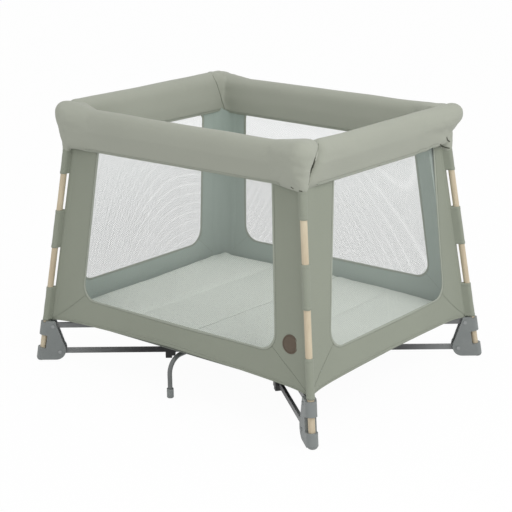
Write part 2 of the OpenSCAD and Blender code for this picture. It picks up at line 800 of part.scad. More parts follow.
module mattress_pad() {
    room = net_t + pad_gap;
    top = pad_z + loose + pad_t;
    half = [foot_x - lean_x * top, foot_y - lean_y * top] - (wall_inset + room) * [1, 1];
    shares = [0, 0.03, 0.1, 0.25, 0.5, 0.75, 0.9, 0.97];
    xs = concat([for (k = [0 : pad_panels - 1], t = shares) -1 + 2 * (k + t) / pad_panels], [1]);
    ys = [for (k = [0 : 14]) sin(-90 + 180 * k / 14)];
    nx = len(xs);
    ny = len(ys);
    grid = [for (y = ys, x = xs) [x * half[0], y * half[1]]];
    mid = pad_z + loose + pad_t * 0.45;
    upper = [for (p = grid) [p[0], p[1], mid + max(0.5, (top - mid) * pad_fill(p, half))]];
    lower = [for (p = grid) let (f = pad_fill(p, [half[0] + 2, half[1] + 2]))
        [p[0], p[1], mid - max(0.5, (top - pad_t - mid) * -min(1, f * 1.4))]];
    n = nx * ny;
    rim = concat(
        [for (i = [0 : nx - 2]) i],
        [for (j = [0 : ny - 2]) j * nx + nx - 1],
        [for (i = [nx - 1 : -1 : 1]) (ny - 1) * nx + i],
        [for (j = [ny - 1 : -1 : 1]) j * nx]
    );
    m = len(rim);
    faces = concat(
        [for (j = [0 : ny - 2], i = [0 : nx - 2]) let (a = j * nx + i) each
            [[a, a + nx, a + 1], [a + 1, a + nx, a + nx + 1]]],
        [for (j = [0 : ny - 2], i = [0 : nx - 2]) let (a = n + j * nx + i) each
            [[a, a + 1, a + nx], [a + 1, a + nx + 1, a + nx]]],
        [for (k = [0 : m - 1]) let (a = rim[k], b = rim[(k + 1) % m]) each [[a, b, a + n], [b, b + n, a + n]]]
    );
    color(PALE) polyhedron(concat(upper, lower), faces);
}

// Drawing

hub();
hub_pins();
floor_cloth();
mattress_pad();
leather_patch();
side_nets();
end_nets();
for (s = [0 : 3]) {
    wall(s);
    rail_cover(s);
    rail_half(s, -1);
    rail_half(s, 1);
    rail_hinge(s);
    lock_button(s);
}
for (i = [0 : 3]) {
    post(i);
    foot_bracket(i);
    corner_rivets(i);
    top_corner(i);
    lower_bar(i);
    upper_bar(i);
}
middle_leg(0);  // middle_leg_front
middle_leg(180);  // middle_leg_back
leg_cap(0);  // leg_cap_front
leg_cap(180);  // leg_cap_back
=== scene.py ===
"""Looks of a folding travel play yard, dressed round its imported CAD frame.

Metres, in the frame's own axes: X runs along the long side, -Y is the front and Z is up.
"""

import json
import logging
import math
from collections.abc import Callable, Sequence
from dataclasses import dataclass
from enum import Enum
from typing import ClassVar

import bmesh
import bpy
import numpy as np
from mathutils import Matrix, Vector, noise

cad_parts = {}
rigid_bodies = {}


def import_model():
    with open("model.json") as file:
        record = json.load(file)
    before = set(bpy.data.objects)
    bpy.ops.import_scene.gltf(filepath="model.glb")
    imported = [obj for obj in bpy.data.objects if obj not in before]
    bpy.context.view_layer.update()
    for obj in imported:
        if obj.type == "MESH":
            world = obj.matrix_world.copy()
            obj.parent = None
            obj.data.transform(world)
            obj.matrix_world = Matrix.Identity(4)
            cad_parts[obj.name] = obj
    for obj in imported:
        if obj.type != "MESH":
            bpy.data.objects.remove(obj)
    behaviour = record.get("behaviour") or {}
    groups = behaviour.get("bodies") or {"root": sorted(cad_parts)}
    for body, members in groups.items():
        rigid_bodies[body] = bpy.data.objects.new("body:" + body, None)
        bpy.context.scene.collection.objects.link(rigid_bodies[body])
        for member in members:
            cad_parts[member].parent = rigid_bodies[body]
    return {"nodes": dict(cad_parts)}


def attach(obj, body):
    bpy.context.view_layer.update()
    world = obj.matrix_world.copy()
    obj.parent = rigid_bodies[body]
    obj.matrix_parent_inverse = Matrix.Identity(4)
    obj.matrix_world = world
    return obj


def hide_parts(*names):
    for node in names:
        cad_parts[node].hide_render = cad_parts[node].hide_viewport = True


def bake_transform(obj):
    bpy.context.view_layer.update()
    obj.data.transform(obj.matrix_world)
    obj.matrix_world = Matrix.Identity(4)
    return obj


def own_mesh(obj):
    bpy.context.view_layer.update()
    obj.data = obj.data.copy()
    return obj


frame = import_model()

LOG = logging.getLogger("play_yard")
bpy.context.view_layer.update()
Colour = tuple[float, float, float, float]
WHITE: Colour = (1.0, 1.0, 1.0, 1.0)
# Edges that turn by more than this stay sharp under smooth shading
SHARP = math.radians(65)
# Points of a rounded corner
FILLET_POINTS = 17


def srgb(red: float, green: float, blue: float) -> Colour:
    """Linear colour of an 8-bit display colour."""
    shares = [c / 255 for c in (red, green, blue)]
    linear = [c / 12.92 if c <= 0.04045 else ((c + 0.055) / 1.055) ** 2.4 for c in shares]
    return (*linear, 1.0)


# Places on the yard


class Side(Enum):
    """The four walls, counted round from the front."""

    FRONT = 0
    RIGHT = 1
    BACK = 2
    LEFT = 3

    @property
    def tag(self) -> str:
        """The side's name as the CAD nodes spell it."""
        return self.name.lower()

    @property
    def long(self) -> bool:
        """True for the two long walls."""
        return self.value % 2 == 0

    def place(self, u: np.ndarray, d: np.ndarray, z: np.ndarray) -> np.ndarray:
        """Turns places measured on a side into points of the frame.

        Args:
            u: Along the side, from its middle.
            d: Outwards from the middle of the yard.
            z: Up.

        Returns:
            Points with a last axis of three.
        """
        turn = math.radians(90 * self.value)
        u, d, z = np.broadcast_arrays(*(np.asarray(v, float) for v in (u, d, z)))
        cos, sin = math.cos(turn), math.sin(turn)
        return np.stack([u * cos + d * sin, u * sin - d * cos, z], axis=-1)


class Half(Enum):
    """The two halves of a side, which meet at its middle hinge."""

    A = -1
    B = 1


def corner_of(side: Side, half: Half) -> str:
    """Name of the corner at a half side's outer end."""
    x, y, _ = side.place(half.value, 1.0, 0.0)
    return ("front" if y < 0 else "back") + ("_left" if x < 0 else "_right")


CORNERS: dict[str, tuple[int, int]] = {
    "front_left": (-1, -1),
    "front_right": (1, -1),
    "back_left": (-1, 1),
    "back_right": (1, 1),
}


@dataclass(frozen=True)
class YardSizes:
    """Sizes of the frame that the soft goods follow."""

    foot_x: float = 0.504
    foot_y: float = 0.4115
    lean: float = math.radians(9.6)
    post_r: float = 0.009
    rail_z: float = 0.738
    rail_step: tuple[float, float] = (0.0251, 0.0177)
    inset: float = 0.020
    cloth: float = 0.0022
    floor_z: float = 0.13

    @property
    def slope(self) -> tuple[float, float]:
        """Lean of a post along X and along Y, per metre of height."""
        share = math.tan(self.lean) / math.hypot(self.foot_x, self.foot_y)
        return share * self.foot_x, share * self.foot_y

    def along(self, side: Side, z: np.ndarray) -> np.ndarray:
        """Half width of a wall at a height."""
        k = 0 if side.long else 1
        return (self.foot_x, self.foot_y)[k] - self.inset - self.slope[k] * z

    def outward(self, side: Side, z: np.ndarray) -> np.ndarray:
        """Middle of the yard to the middle of a wall's cloth at a height."""
        k = 1 if side.long else 0
        return (self.foot_x, self.foot_y)[k] - self.inset + self.cloth / 2 - self.slope[k] * z

    def rail(self, side: Side) -> tuple[float, float]:
        """Half length of a rail between post axes, and its distance from the middle."""
        x = self.foot_x - self.slope[0] * self.rail_z
        y = self.foot_y - self.slope[1] * self.rail_z
        return (x, y) if side.long else (y, x)

    def post_axis(self, corner: str, z: float) -> Vector:
        """Point of a post's axis at a height."""
        sx, sy = CORNERS[corner]
        return Vector((sx * (self.foot_x - self.slope[0] * z), sy * (self.foot_y - self.slope[1] * z), z))


YARD = YardSizes()


@dataclass(frozen=True)
class FoldPath:
    """Where the soft goods go while the frame folds."""

    travel: tuple[float, float] = (0.2537, 0.2072)
    tuck: float = 0.07
    pad_keep: float = 0.3

    def hang(self, piece: bpy.types.Object, side: Side, half: Half) -> None:
        """Keeps a half wall on its post.

        Args:
            piece: The cloth, net or stitching of a half wall.
            side: Its wall.
            half: Its half of that wall.
        """
        k = 0 if side.long else 1
        width = float(YARD.along(side, YARD.floor_z))
        slant = math.atan2(self.tuck, self.travel[k])
        rise = YARD.slope[k] * math.cos(slant) - YARD.slope[1 - k] * math.sin(slant)
        axis = side.place(half.value * math.cos(slant), -math.sin(slant), rise)
        anchor = side.place(half.value * YARD.along(side, 0.0), YARD.outward(side, 0.0), 0.0)
        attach(piece, "corner_" + corner_of(side, half))
        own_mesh(piece)

    def drape(self, piece: bpy.types.Object, end: str) -> None:
        """Lets half of the floor or mattress hang from the hub with its middle leg."""
        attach(piece, "middle_leg_" + end)
        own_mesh(piece)


FOLD = FoldPath()


# Finishes


class Graph:
    """A node tree in the making."""

    def __init__(self, tree: bpy.types.NodeTree) -> None:
        """Starts on a tree that may hold nodes already."""
        self.tree = tree

    def add(
        self,
        kind: str,
        settings: dict[str, object] | None = None,
        sockets: dict[int | str, object] | None = None,
    ) -> bpy.types.Node:
        """Adds a node.

        Args:
            kind: Blender's name for its type.
            settings: Its own settings, which are set first.
            sockets: Values or links of its inputs.

        Returns:
            The node.
        """
        made = self.tree.nodes.new(kind)
        for key, value in (settings or {}).items():
            setattr(made, key, value)
        return self.feed(made, sockets or {})

    def feed(self, node: bpy.types.Node, sockets: dict[int | str, object]) -> bpy.types.Node:
        """Sets a node's inputs, each to a value or to a link from another node."""
        for key, value in sockets.items():
            source = value.socket if isinstance(value, Sock) else value
            if isinstance(source, bpy.types.NodeSocket):
                self.tree.links.new(source, node.inputs[key])
            else:
                node.inputs[key].default_value = source
        return node


class Sock:
    """A socket of a material's tree, whose operators add Math nodes."""

    def __init__(self, paint: "Paint", socket: bpy.types.NodeSocket) -> None:
        """Wraps one output of a node."""
        self.paint, self.socket = paint, socket

    def _math(self, operation: str, *values: "Sock | float") -> "Sock":
        """Adds one Math node."""
        return self.paint.node("ShaderNodeMath", {"operation": operation}, dict(enumerate(values)))

    def __add__(self, other: "Sock | float") -> "Sock":
        """Sum."""
        return self._math("ADD", self, other)

    def __sub__(self, other: "Sock | float") -> "Sock":
        """Difference."""
        return self._math("SUBTRACT", self, other)

    def __rsub__(self, other: float) -> "Sock":
        """Difference from a number."""
        return self._math("SUBTRACT", other, self)

    def __mul__(self, other: "Sock | float") -> "Sock":
        """Product."""
        return self._math("MULTIPLY", self, other)

    __radd__, __rmul__ = __add__, __mul__

    def sine(self) -> "Sock":
        """Sine of an angle."""
        return self._math("SINE", self)

    def root(self) -> "Sock":
        """Square root."""
        return self._math("SQRT", self)

    def rise(self, low: float, high: float) -> "Sock":
        """A smooth step from 0 at low to 1 at high."""
        settings = {"interpolation_type": "SMOOTHSTEP", "clamp": True}
        return self.paint.node("ShaderNodeMapRange", settings, {0: self, 1: low, 2: high})


class Paint(Graph):
    """A material in the making."""

    def __init__(self, name: str) -> None:
        """Starts a material with one Principled node."""
        self.material = bpy.data.materials.new(name)
        self.material.use_nodes = True
        super().__init__(self.material.node_tree)
        self.shader = self.tree.nodes["Principled BSDF"]
        self.coords = self.node("ShaderNodeTexCoord", out="Object")

    def node(
        self,
        kind: str,
        settings: dict[str, object] | None = None,
        sockets: dict[int | str, object] | None = None,
        out: int | str = 0,
    ) -> Sock:
        """Adds a node as add does, and gives the output that is wanted."""
        return Sock(self, self.add(kind, settings, sockets).outputs[out])

    def axes(self) -> tuple[Sock, Sock, Sock]:
        """The three object coordinates."""
        first = self.node("ShaderNodeSeparateXYZ", sockets={0: self.coords})
        return tuple(Sock(self, s) for s in first.socket.node.outputs)

    def noise(self, scale: float, detail: float = 2.0, stretch: Sequence[float] = (1, 1, 1)) -> Sock:
        """Noise on the object coordinates, finer along an axis with a larger stretch."""
        place = self.node("ShaderNodeMapping", None, {0: self.coords, "Scale": tuple(stretch)})
        return self.node("ShaderNodeTexNoise", None, {"Vector": place, "Scale": scale, "Detail": detail})

    def mix(self, share: Sock, low: "Sock | Colour", high: "Sock | Colour") -> Sock:
        """A colour between two others."""
        return self.node("ShaderNodeMix", {"data_type": "RGBA"}, {0: share, 6: low, 7: high}, 2)

    def bump(self, height: Sock, distance: float, strength: float = 1.0) -> Sock:
        """A normal from a height."""
        values = {"Height": height, "Distance": distance, "Strength": strength}
        return self.node("ShaderNodeBump", None, values)

    def surface(self, **sockets: "Sock | float | Colour") -> bpy.types.Material:
        """Sets the Principled node's inputs, with _ for a space in their names."""
        self.feed(self.shader, {key.replace("_", " "): value for key, value in sockets.items()})
        return self.material


@dataclass(frozen=True)
class Finish:
    """A finish that varies between a light and a dark tone."""

    name: str
    light: Colour
    dark: Colour


@dataclass(frozen=True)
class Woven(Finish):
    """A plain woven cloth."""

    thread: float = 0.0012
    relief: float = 0.5
    sheen: float = 0.12

    def material(self) -> bpy.types.Material:
        """Builds the cloth's material."""
        p = Paint(self.name)
        x, y, z = p.axes()
        turn = math.tau / self.thread
        weave = ((x + y) * turn).sine() * ((z + (x - y) * 0.37) * turn).sine() * 0.5 + 0.5
        fleck = p.noise(520.0, 2.0)
        cloud = p.noise(4.5, 3.0)
        tone = weave * 0.22 + fleck * 0.38 + cloud * 0.4
        height = weave * 0.6 + fleck * 0.4
        return p.surface(
            Base_Color=p.mix(tone, self.dark, self.light),
            Roughness=0.86 - fleck * 0.12,
            Normal=p.bump(height, self.thread * 0.3, self.relief),
            Sheen_Weight=self.sheen,
            Specular_IOR_Level=0.25,
        )


@dataclass(frozen=True)
class Yarn(Finish):
    """The thin yarn of the nets and of the stitching, and of the dark cords of painted shade in gaps."""

    # Heights between which the yarn goes from its dark tone to its light one: a painted shade low down
    low: float = 0.0
    high: float = 0.001

    def material(self) -> bpy.types.Material:
        """Builds the yarn's material, which is darker towards its low height: a painted shade."""
        p = Paint(self.name)
        twist = p.noise(900.0, 1.0)
        # Painted shade: darker low down
        tone = p.axes()[2].rise(self.low, self.high) * 0.8 + twist * 0.2
        return p.surface(Base_Color=p.mix(tone, self.dark, self.light), Roughness=0.8)


@dataclass(frozen=True)
class Wood(Finish):
    """A light wood finish with its grain along the posts."""

    def material(self) -> bpy.types.Material:
        """Builds the wood's material."""
        p = Paint(self.name)
        grain = p.noise(95.0, 4.0, (1, 1, 0.05))
        streak = p.noise(330.0, 2.0, (1, 1, 0.03))
        patch = p.noise(16.0, 1.0, (1, 1, 0.4))
        tone = grain * 0.5 + streak * 0.2 + patch * 0.3
        return p.surface(
            Base_Color=p.mix(tone.rise(0.25, 0.75), self.dark, self.light),
            Roughness=0.42 + grain * 0.18,
            Normal=p.bump(grain * 0.6 + streak * 0.4, 0.0002, 0.5),
        )


@dataclass(frozen=True)
class Moulded(Finish):
    """A moulded plastic with a fine spark texture."""

    rough: float = 0.5

    def material(self) -> bpy.types.Material:
        """Builds the plastic's material."""
        p = Paint(self.name)
        spark = p.noise(850.0, 2.0)
        cloud = p.noise(30.0, 2.0)
        return p.surface(
            Base_Color=p.mix(cloud * 0.7 + spark * 0.3, self.dark, self.light),
            Roughness=self.rough - 0.08 + spark * 0.16,
            Normal=p.bump(spark, 0.00012, 0.6),
        )


@dataclass(frozen=True)
class Coated:
    """Powder-coated steel with a painted shade that darkens it towards the hub under the yard and leaves it
    paler towards the feet, with a black clip on each lower bar.
    """

    name: str
    # Colour at the feet, the darker colour of the painted shade towards the hub, and the clip's colour
    pale: Colour
    dark: Colour
    clip: Colour
    # Distances from the middle over which the painted shade under the yard gives way to the pale colour
    fade: tuple[float, float] = (0.30, 0.58)
    clip_span: tuple[float, float] = (0.2495, 0.2795)

    def material(self) -> bpy.types.Material:
        """Builds the coating's material."""
        p = Paint(self.name)
        x, y, z = p.axes()
        reach = (x * x + y * y).root()
        peel = p.noise(600.0, 2.0)
        scuff = p.noise(40.0, 4.0, (1, 1, 3)).rise(0.45, 0.8)
        # Painted shade: darker towards the hub, where the yard's underside shades the steel
        shade = p.mix(reach.rise(*self.fade), self.dark, self.pale)
        worn = p.mix(scuff * 0.25, shade, self.pale)
        low, high = self.clip_span
        tint = reach.rise(low, low + 0.0004) * (1 - reach.rise(high - 0.0004, high))
        return p.surface(
            Base_Color=p.mix(tint, worn, self.clip),
            Roughness=0.38 + peel * 0.2,
            Metallic=0.25 - tint * 0.25,
            Normal=p.bump(peel, 0.0001, 0.5),
        )


@dataclass(frozen=True)
class Hide(Finish):
    """A smooth brown leather with a fine grain."""

    def material(self) -> bpy.types.Material:
        """Builds the leather's material."""
        p = Paint(self.name)
        cells = p.node("ShaderNodeTexVoronoi", None, {"Vector": p.coords, "Scale": 900.0})
        cloud = p.noise(70.0, 4.0)
        return p.surface(
            Base_Color=p.mix(cloud * 0.75 + cells * 0.25, self.dark, self.light),
            Roughness=0.55 + cloud * 0.2,
            Normal=p.bump(cells, 0.00025, 0.6),
        )


class Finishes:
    """Every material of the yard, made once."""

    # A clip's span that lies beyond the yard, for steel without a clip
    no_clip: ClassVar[tuple[float, float]] = (9.0, 9.1)

    def __init__(self) -> None:
        """Makes the materials."""
        self.sage = Woven("wall_cloth", srgb(150, 155, 141), srgb(132, 137, 124)).material()
        self.lining = Woven("wall_lining", srgb(172, 184, 177), srgb(155, 167, 160)).material()
        self.cover = Woven("cover_cloth", srgb(170, 173, 161), srgb(152, 155, 143)).material()
        self.tape = Woven("edge_tape", srgb(164, 169, 157), srgb(146, 151, 139), 0.0008).material()
        self.floor = Woven("floor_cloth", srgb(108, 113, 104), srgb(94, 99, 90)).material()
        self.pad = Woven("mattress_cloth", srgb(232, 237, 229), srgb(219, 225, 216), 0.001, 0.35).material()
        self.net = Yarn("net_yarn", srgb(168, 174, 170), srgb(156, 162, 158)).material()
        # The far nets' yarn is painted light at the top and dark low down: painted light and painted shade
        self.far_net = Yarn("far_net_yarn", srgb(214, 222, 221), srgb(58, 62, 62), 0.26, 0.66).material()
        # A dark cord of painted shade, laid in the gaps between padded pieces
        self.gap = Yarn("gap_lining", srgb(72, 74, 62), srgb(54, 56, 46)).material()
        # The sewn fold line's cord, darker than the cover: a real seam with the crease's painted shade
        self.pad_seam = Yarn("mattress_seam", srgb(164, 169, 161), srgb(148, 153, 145)).material()
        self.thread = Yarn("sewing_thread", srgb(108, 113, 101), srgb(88, 93, 82)).material()
        self.brown_thread = Yarn("patch_thread", srgb(70, 58, 46), srgb(54, 45, 36)).material()
        self.beech = Wood("beech_finish", srgb(204, 192, 167), srgb(182, 166, 140)).material()
        self.grey = Moulded("grey_moulding", srgb(130, 134, 133), srgb(119, 124, 123)).material()
        self.black = Moulded("black_moulding", srgb(38, 38, 39), srgb(26, 26, 27), 0.45).material()
        # The coated steel is painted darker towards the hub: a painted shade under the yard
        self.bars = Coated("bar_coating", srgb(130, 132, 132), srgb(42, 42, 44), srgb(24, 24, 25)).material()
        pale, dark = srgb(120, 123, 122), srgb(102, 105, 104)
        self.leg = Coated("leg_coating", pale, dark, dark, clip_span=self.no_clip).material()
        pale, dark = srgb(150, 153, 153), srgb(104, 106, 107)
        self.steel = Coated("rivet_steel", pale, dark, dark, clip_span=self.no_clip).material()
        self.leather = Hide("brown_leather", srgb(103, 89, 74), srgb(74, 65, 53)).material()

    def dress(self, prefix: str, material: bpy.types.Material) -> None:
        """Gives one material to every CAD node whose name starts with a prefix."""
        for name, node in frame["nodes"].items():
            if name.startswith(prefix):
                node.data.materials.clear()
                node.data.materials.append(material)
                LOG.info("%s: %s", name, material.name)


# Meshes


def linked(name: str, data: bpy.types.ID) -> bpy.types.Object:
    """Puts a mesh, lamp or camera into the scene, at the origin."""
    made = bpy.data.objects.new(name, data)
    bpy.context.scene.collection.objects.link(made)
    return made


def report(piece: bpy.types.Object, slot: str) -> None:
    """Logs a piece with its number of faces and the name of a slot."""
    LOG.info("%s: %d faces, %s", piece.name, len(piece.data.polygons), slot)


def smooth_piece(
    name: str, work: bmesh.types.BMesh, materials: Sequence[bpy.types.Material]
) -> bpy.types.Object:
    """Turns a mesh in the making into a smooth-shaded piece."""
    mesh = bpy.data.meshes.new(name)
    work.to_mesh(mesh)
    work.free()
    mesh.shade_smooth()
    mesh.set_sharp_from_angle(angle=SHARP)
    for material in materials:
        mesh.materials.append(material)
    return linked(name, mesh)


def mesh_piece(
    name: str, points: np.ndarray, faces: Sequence[Sequence[int]], materials: Sequence[bpy.types.Material]
) -> bpy.types.Object:
    """Makes a smooth-shaded piece with its faces outwards.

    Args:
        name: The piece's name.
        points: Its points.
        faces: Its faces, as indices of points.
        materials: Its finishes.

    Returns:
        The new object, at the origin.
    """
    raw = bpy.data.meshes.new(f"{name}_raw")
    raw.from_pydata([tuple(p) for p in points], [], [tuple(f) for f in faces])
    work = bmesh.new()
    work.from_mesh(raw)
    bpy.data.meshes.remove(raw)
    bmesh.ops.remove_doubles(work, verts=work.verts, dist=1e-6)
    bmesh.ops.recalc_face_normals(work, faces=work.faces)
    return smooth_piece(name, work, materials)


def settled(piece: bpy.types.Object) -> None:
    """Turns a piece's live modifiers into plain mesh."""
    bpy.context.view_layer.update()
    graph = bpy.context.evaluated_depsgraph_get()
    made = bpy.data.meshes.new_from_object(piece.evaluated_get(graph))
    piece.modifiers.clear()
    old, piece.data = piece.data, made
    bpy.data.meshes.remove(old)


def evenly(path: np.ndarray, count: int) -> np.ndarray:
    """Points spread evenly along an open path."""
    steps = np.r_[0, np.cumsum(np.linalg.norm(np.diff(path, axis=0), axis=1))]
    at = np.linspace(0, steps[-1], count)
    return np.stack([np.interp(at, steps, path[:, k]) for k in range(path.shape[1])], axis=-1)


def fillet(a: np.ndarray, b: np.ndarray, c: np.ndarray, r: float) -> np.ndarray:
    """Points of a round of radius r at the corner b of the path a, b, c."""
    u, v = (a - b) / np.linalg.norm(a - b), (c - b) / np.linalg.norm(c - b)
    half = math.acos(float(np.clip(u @ v, -1, 1))) / 2
    middle = b + (u + v) / np.linalg.norm(u + v) * r / math.sin(half)
    start, end = b + u * r / math.tan(half) - middle, b + v * r / math.tan(half) - middle
    first, last = math.atan2(start[1], start[0]), math.atan2(end[1], end[0])
    sweep = (last - first + math.pi) % math.tau - math.pi
    angles = first + sweep * np.linspace(0, 1, FILLET_POINTS)
    return middle + r * np.stack([np.cos(angles), np.sin(angles)], axis=-1)


def grid_faces(rows: int, columns: int, start: int = 0, close: bool = False) -> list[tuple[int, ...]]:
    """Quads of a grid of points, joined round its columns if it is closed."""
    faces = []
    for i in range(rows - 1):
        low, high = start + i * columns, start + (i + 1) * columns
        for j in range(columns if close else columns - 1):
            k = (j + 1) % columns
            faces.append((low + j, high + j, high + k, low + k))
    return faces


def layered(
    name: str,
    middle: np.ndarray,
    normal: np.ndarray,
    half: np.ndarray,
    materials: Sequence[bpy.types.Material],
) -> bpy.types.Object:
    """Makes a closed cloth of varying thickness from the grid of its middle surface.

    Args:
        name: The piece's name.
        middle: Grid of points, rows by columns by three.
        normal: The direction of the cloth's outer face.
        half: Half the thickness at each point.
        materials: Its finishes.

    Returns:
        The new object.
    """
    rows, columns = half.shape
    outer, inner = middle + normal * half[..., None], middle - normal * half[..., None]
    points = np.concatenate([outer.reshape(-1, 3), inner.reshape(-1, 3)])
    count = rows * columns
    faces = grid_faces(rows, columns) + [f[::-1] for f in grid_faces(rows, columns, count)]
    rim = (
        [i * columns for i in range(rows)]
        + [(rows - 1) * columns + j for j in range(1, columns)]
        + [i * columns + columns - 1 for i in range(rows - 2, -1, -1)]
        + [j for j in range(columns - 2, 0, -1)]
    )
    faces += [(a, b, b + count, a + count) for a, b in zip(rim, rim[1:] + rim[:1])]
    return mesh_piece(name, points, faces, materials)


def hulled(name: str, groups: Sequence[np.ndarray]) -> bpy.types.Object:
    """Makes a rough piece from the convex hulls of groups of points."""
    work = bmesh.new()
    for points in groups:
        verts = [work.verts.new(tuple(p)) for p in points]
        result = bmesh.ops.convex_hull(work, input=verts)
        spare = {g for key in ("geom_interior", "geom_unused") for g in result[key]}
        loose = [g for g in spare if isinstance(g, bmesh.types.BMVert)]
        bmesh.ops.delete(work, geom=loose, context="VERTS")
    mesh = bpy.data.meshes.new(name)
    work.to_mesh(mesh)
    work.free()
    return linked(name, mesh)


def split_at(piece: bpy.types.Object, normal: Vector, names: Sequence[str]) -> list[bpy.types.Object]:
    """Cuts a closed piece at a plane through the middle of the yard and closes both cuts.

    Args:
        piece: The piece, which is removed.
        normal: The plane's normal.
        names: Names of the parts before and behind the plane.

    Returns:
        The two parts.
    """
    made = []
    for sign, name in zip((-1, 1), names):
        work = bmesh.new()
        work.from_mesh(piece.data)
        whole = list(work.verts) + list(work.edges) + list(work.faces)
        cut = bmesh.ops.bisect_plane(
            work, geom=whole, plane_co=(0, 0, 0), plane_no=sign * normal, clear_inner=True, dist=1e-6
        )
        edges = {e for e in cut["geom_cut"] if isinstance(e, bmesh.types.BMEdge)}
        bmesh.ops.holes_fill(work, edges=[e for e in cut["geom_cut"] if e in edges])
        caps = [f for f in work.faces if edges.issuperset(f.edges)]
        bmesh.ops.triangulate(work, faces=caps)
        made.append(smooth_piece(name, work, list(piece.data.materials)))
    bpy.data.objects.remove(piece)
    return made


@dataclass(frozen=True)
class Stuffing:
    """How a padded form is filled: remeshed, blown up as cloth with held places, and smoothed."""

    voxel: float
    pressure: float
    cap: float
    frames: int = 18
    smooth: int = 5

    def fill(self, piece: bpy.types.Object, held: Callable[[np.ndarray], np.ndarray]) -> None:
        """Gives a closed rough form the shape of a filled cover.

        Args:
            piece: The rough form, whose mesh is replaced.
            held: Gives for points the share, from 0 to 1, to which they are held in place.
        """
        remesh = piece.modifiers.new("even", "REMESH")
        remesh.mode, remesh.voxel_size = "VOXEL", self.voxel
        relax = piece.modifiers.new("relax", "SMOOTH")
        relax.factor, relax.iterations = 0.5, self.smooth
        settled(piece)
        self.blow(piece, held)
        fine = piece.modifiers.new("fine", "SUBSURF")
        fine.levels = fine.render_levels = 1
        settled(piece)
        piece.data.shade_smooth()

    def blow(self, piece: bpy.types.Object, held: Callable[[np.ndarray], np.ndarray]) -> None:
        """Runs the cloth simulation and keeps its capped result."""
        start = points_of(piece.data)
        pins = piece.vertex_groups.new(name="held")
        for index, share in enumerate(held(start)):
            if share > 0:
                pins.add([index], float(share), "REPLACE")
        cloth = piece.modifiers.new("cloth", "CLOTH")
        cloth.settings.vertex_group_mass = pins.name
        cloth.settings.use_pressure = True
        cloth.settings.uniform_pressure_force = self.pressure
        cloth.settings.effector_weights.gravity = 0
        cloth.settings.quality = 4
        cloth.point_cache.frame_start, cloth.point_cache.frame_end = 1, self.frames
        scene = bpy.context.scene
        for step in range(1, self.frames + 1):
            scene.frame_set(step)
        settled(piece)
        scene.frame_set(1)
        moved = points_of(piece.data) - start
        far = np.linalg.norm(moved, axis=1, keepdims=True)
        eased = self.cap * np.tanh(far / self.cap)
        set_points(piece.data, start + moved * eased / np.maximum(far, 1e-9))
        piece.vertex_groups.clear()


def vectors(rows: bpy.types.bpy_prop_collection, key: str) -> np.ndarray:
    """A property of a mesh's points as an array with three columns."""
    flat = np.zeros(len(rows) * 3, np.float32)
    rows.foreach_get(key, flat)
    return flat.reshape(-1, 3).astype(float)


def points_of(mesh: bpy.types.Mesh) -> np.ndarray:
    """A mesh's points as an array."""
    return vectors(mesh.vertices, "co")


def set_points(mesh: bpy.types.Mesh, points: np.ndarray) -> None:
    """Moves a mesh's points."""
    mesh.vertices.foreach_set("co", points.astype(np.float32).ravel())
    mesh.update()


def normals_of(mesh: bpy.types.Mesh) -> np.ndarray:
    """A mesh's point normals as an array."""
    return vectors(mesh.vertex_normals, "vector")


def rumple(points: np.ndarray, scale: Sequence[float], seed: float) -> np.ndarray:
    """Smooth noise from -1 to 1 at each point, finer along an axis with a larger scale."""
    k, start = np.asarray(scale, float), Vector((seed, 0, 0))
    found = [noise.noise(Vector(p * k) + start) for p in points.reshape(-1, 3)]
    return np.array(found).reshape(points.shape[:-1])


@dataclass(frozen=True)
class Ripple:
    """Slack of a cloth: its height and the scale of its noise."""

    height: float
    scale: tuple[float, float, float]

    def at(self, points: np.ndarray, seed: float) -> np.ndarray:
        """How far each point stands out."""
        return rumple(points, self.scale, seed) * self.height


def circle(count: int) -> tuple[np.ndarray, np.ndarray]:
    """Cosines and sines of angles spread evenly round a turn."""
    turn = np.linspace(0, math.tau, count, endpoint=False)
    return np.cos(turn), np.sin(turn)


# Geometry Nodes


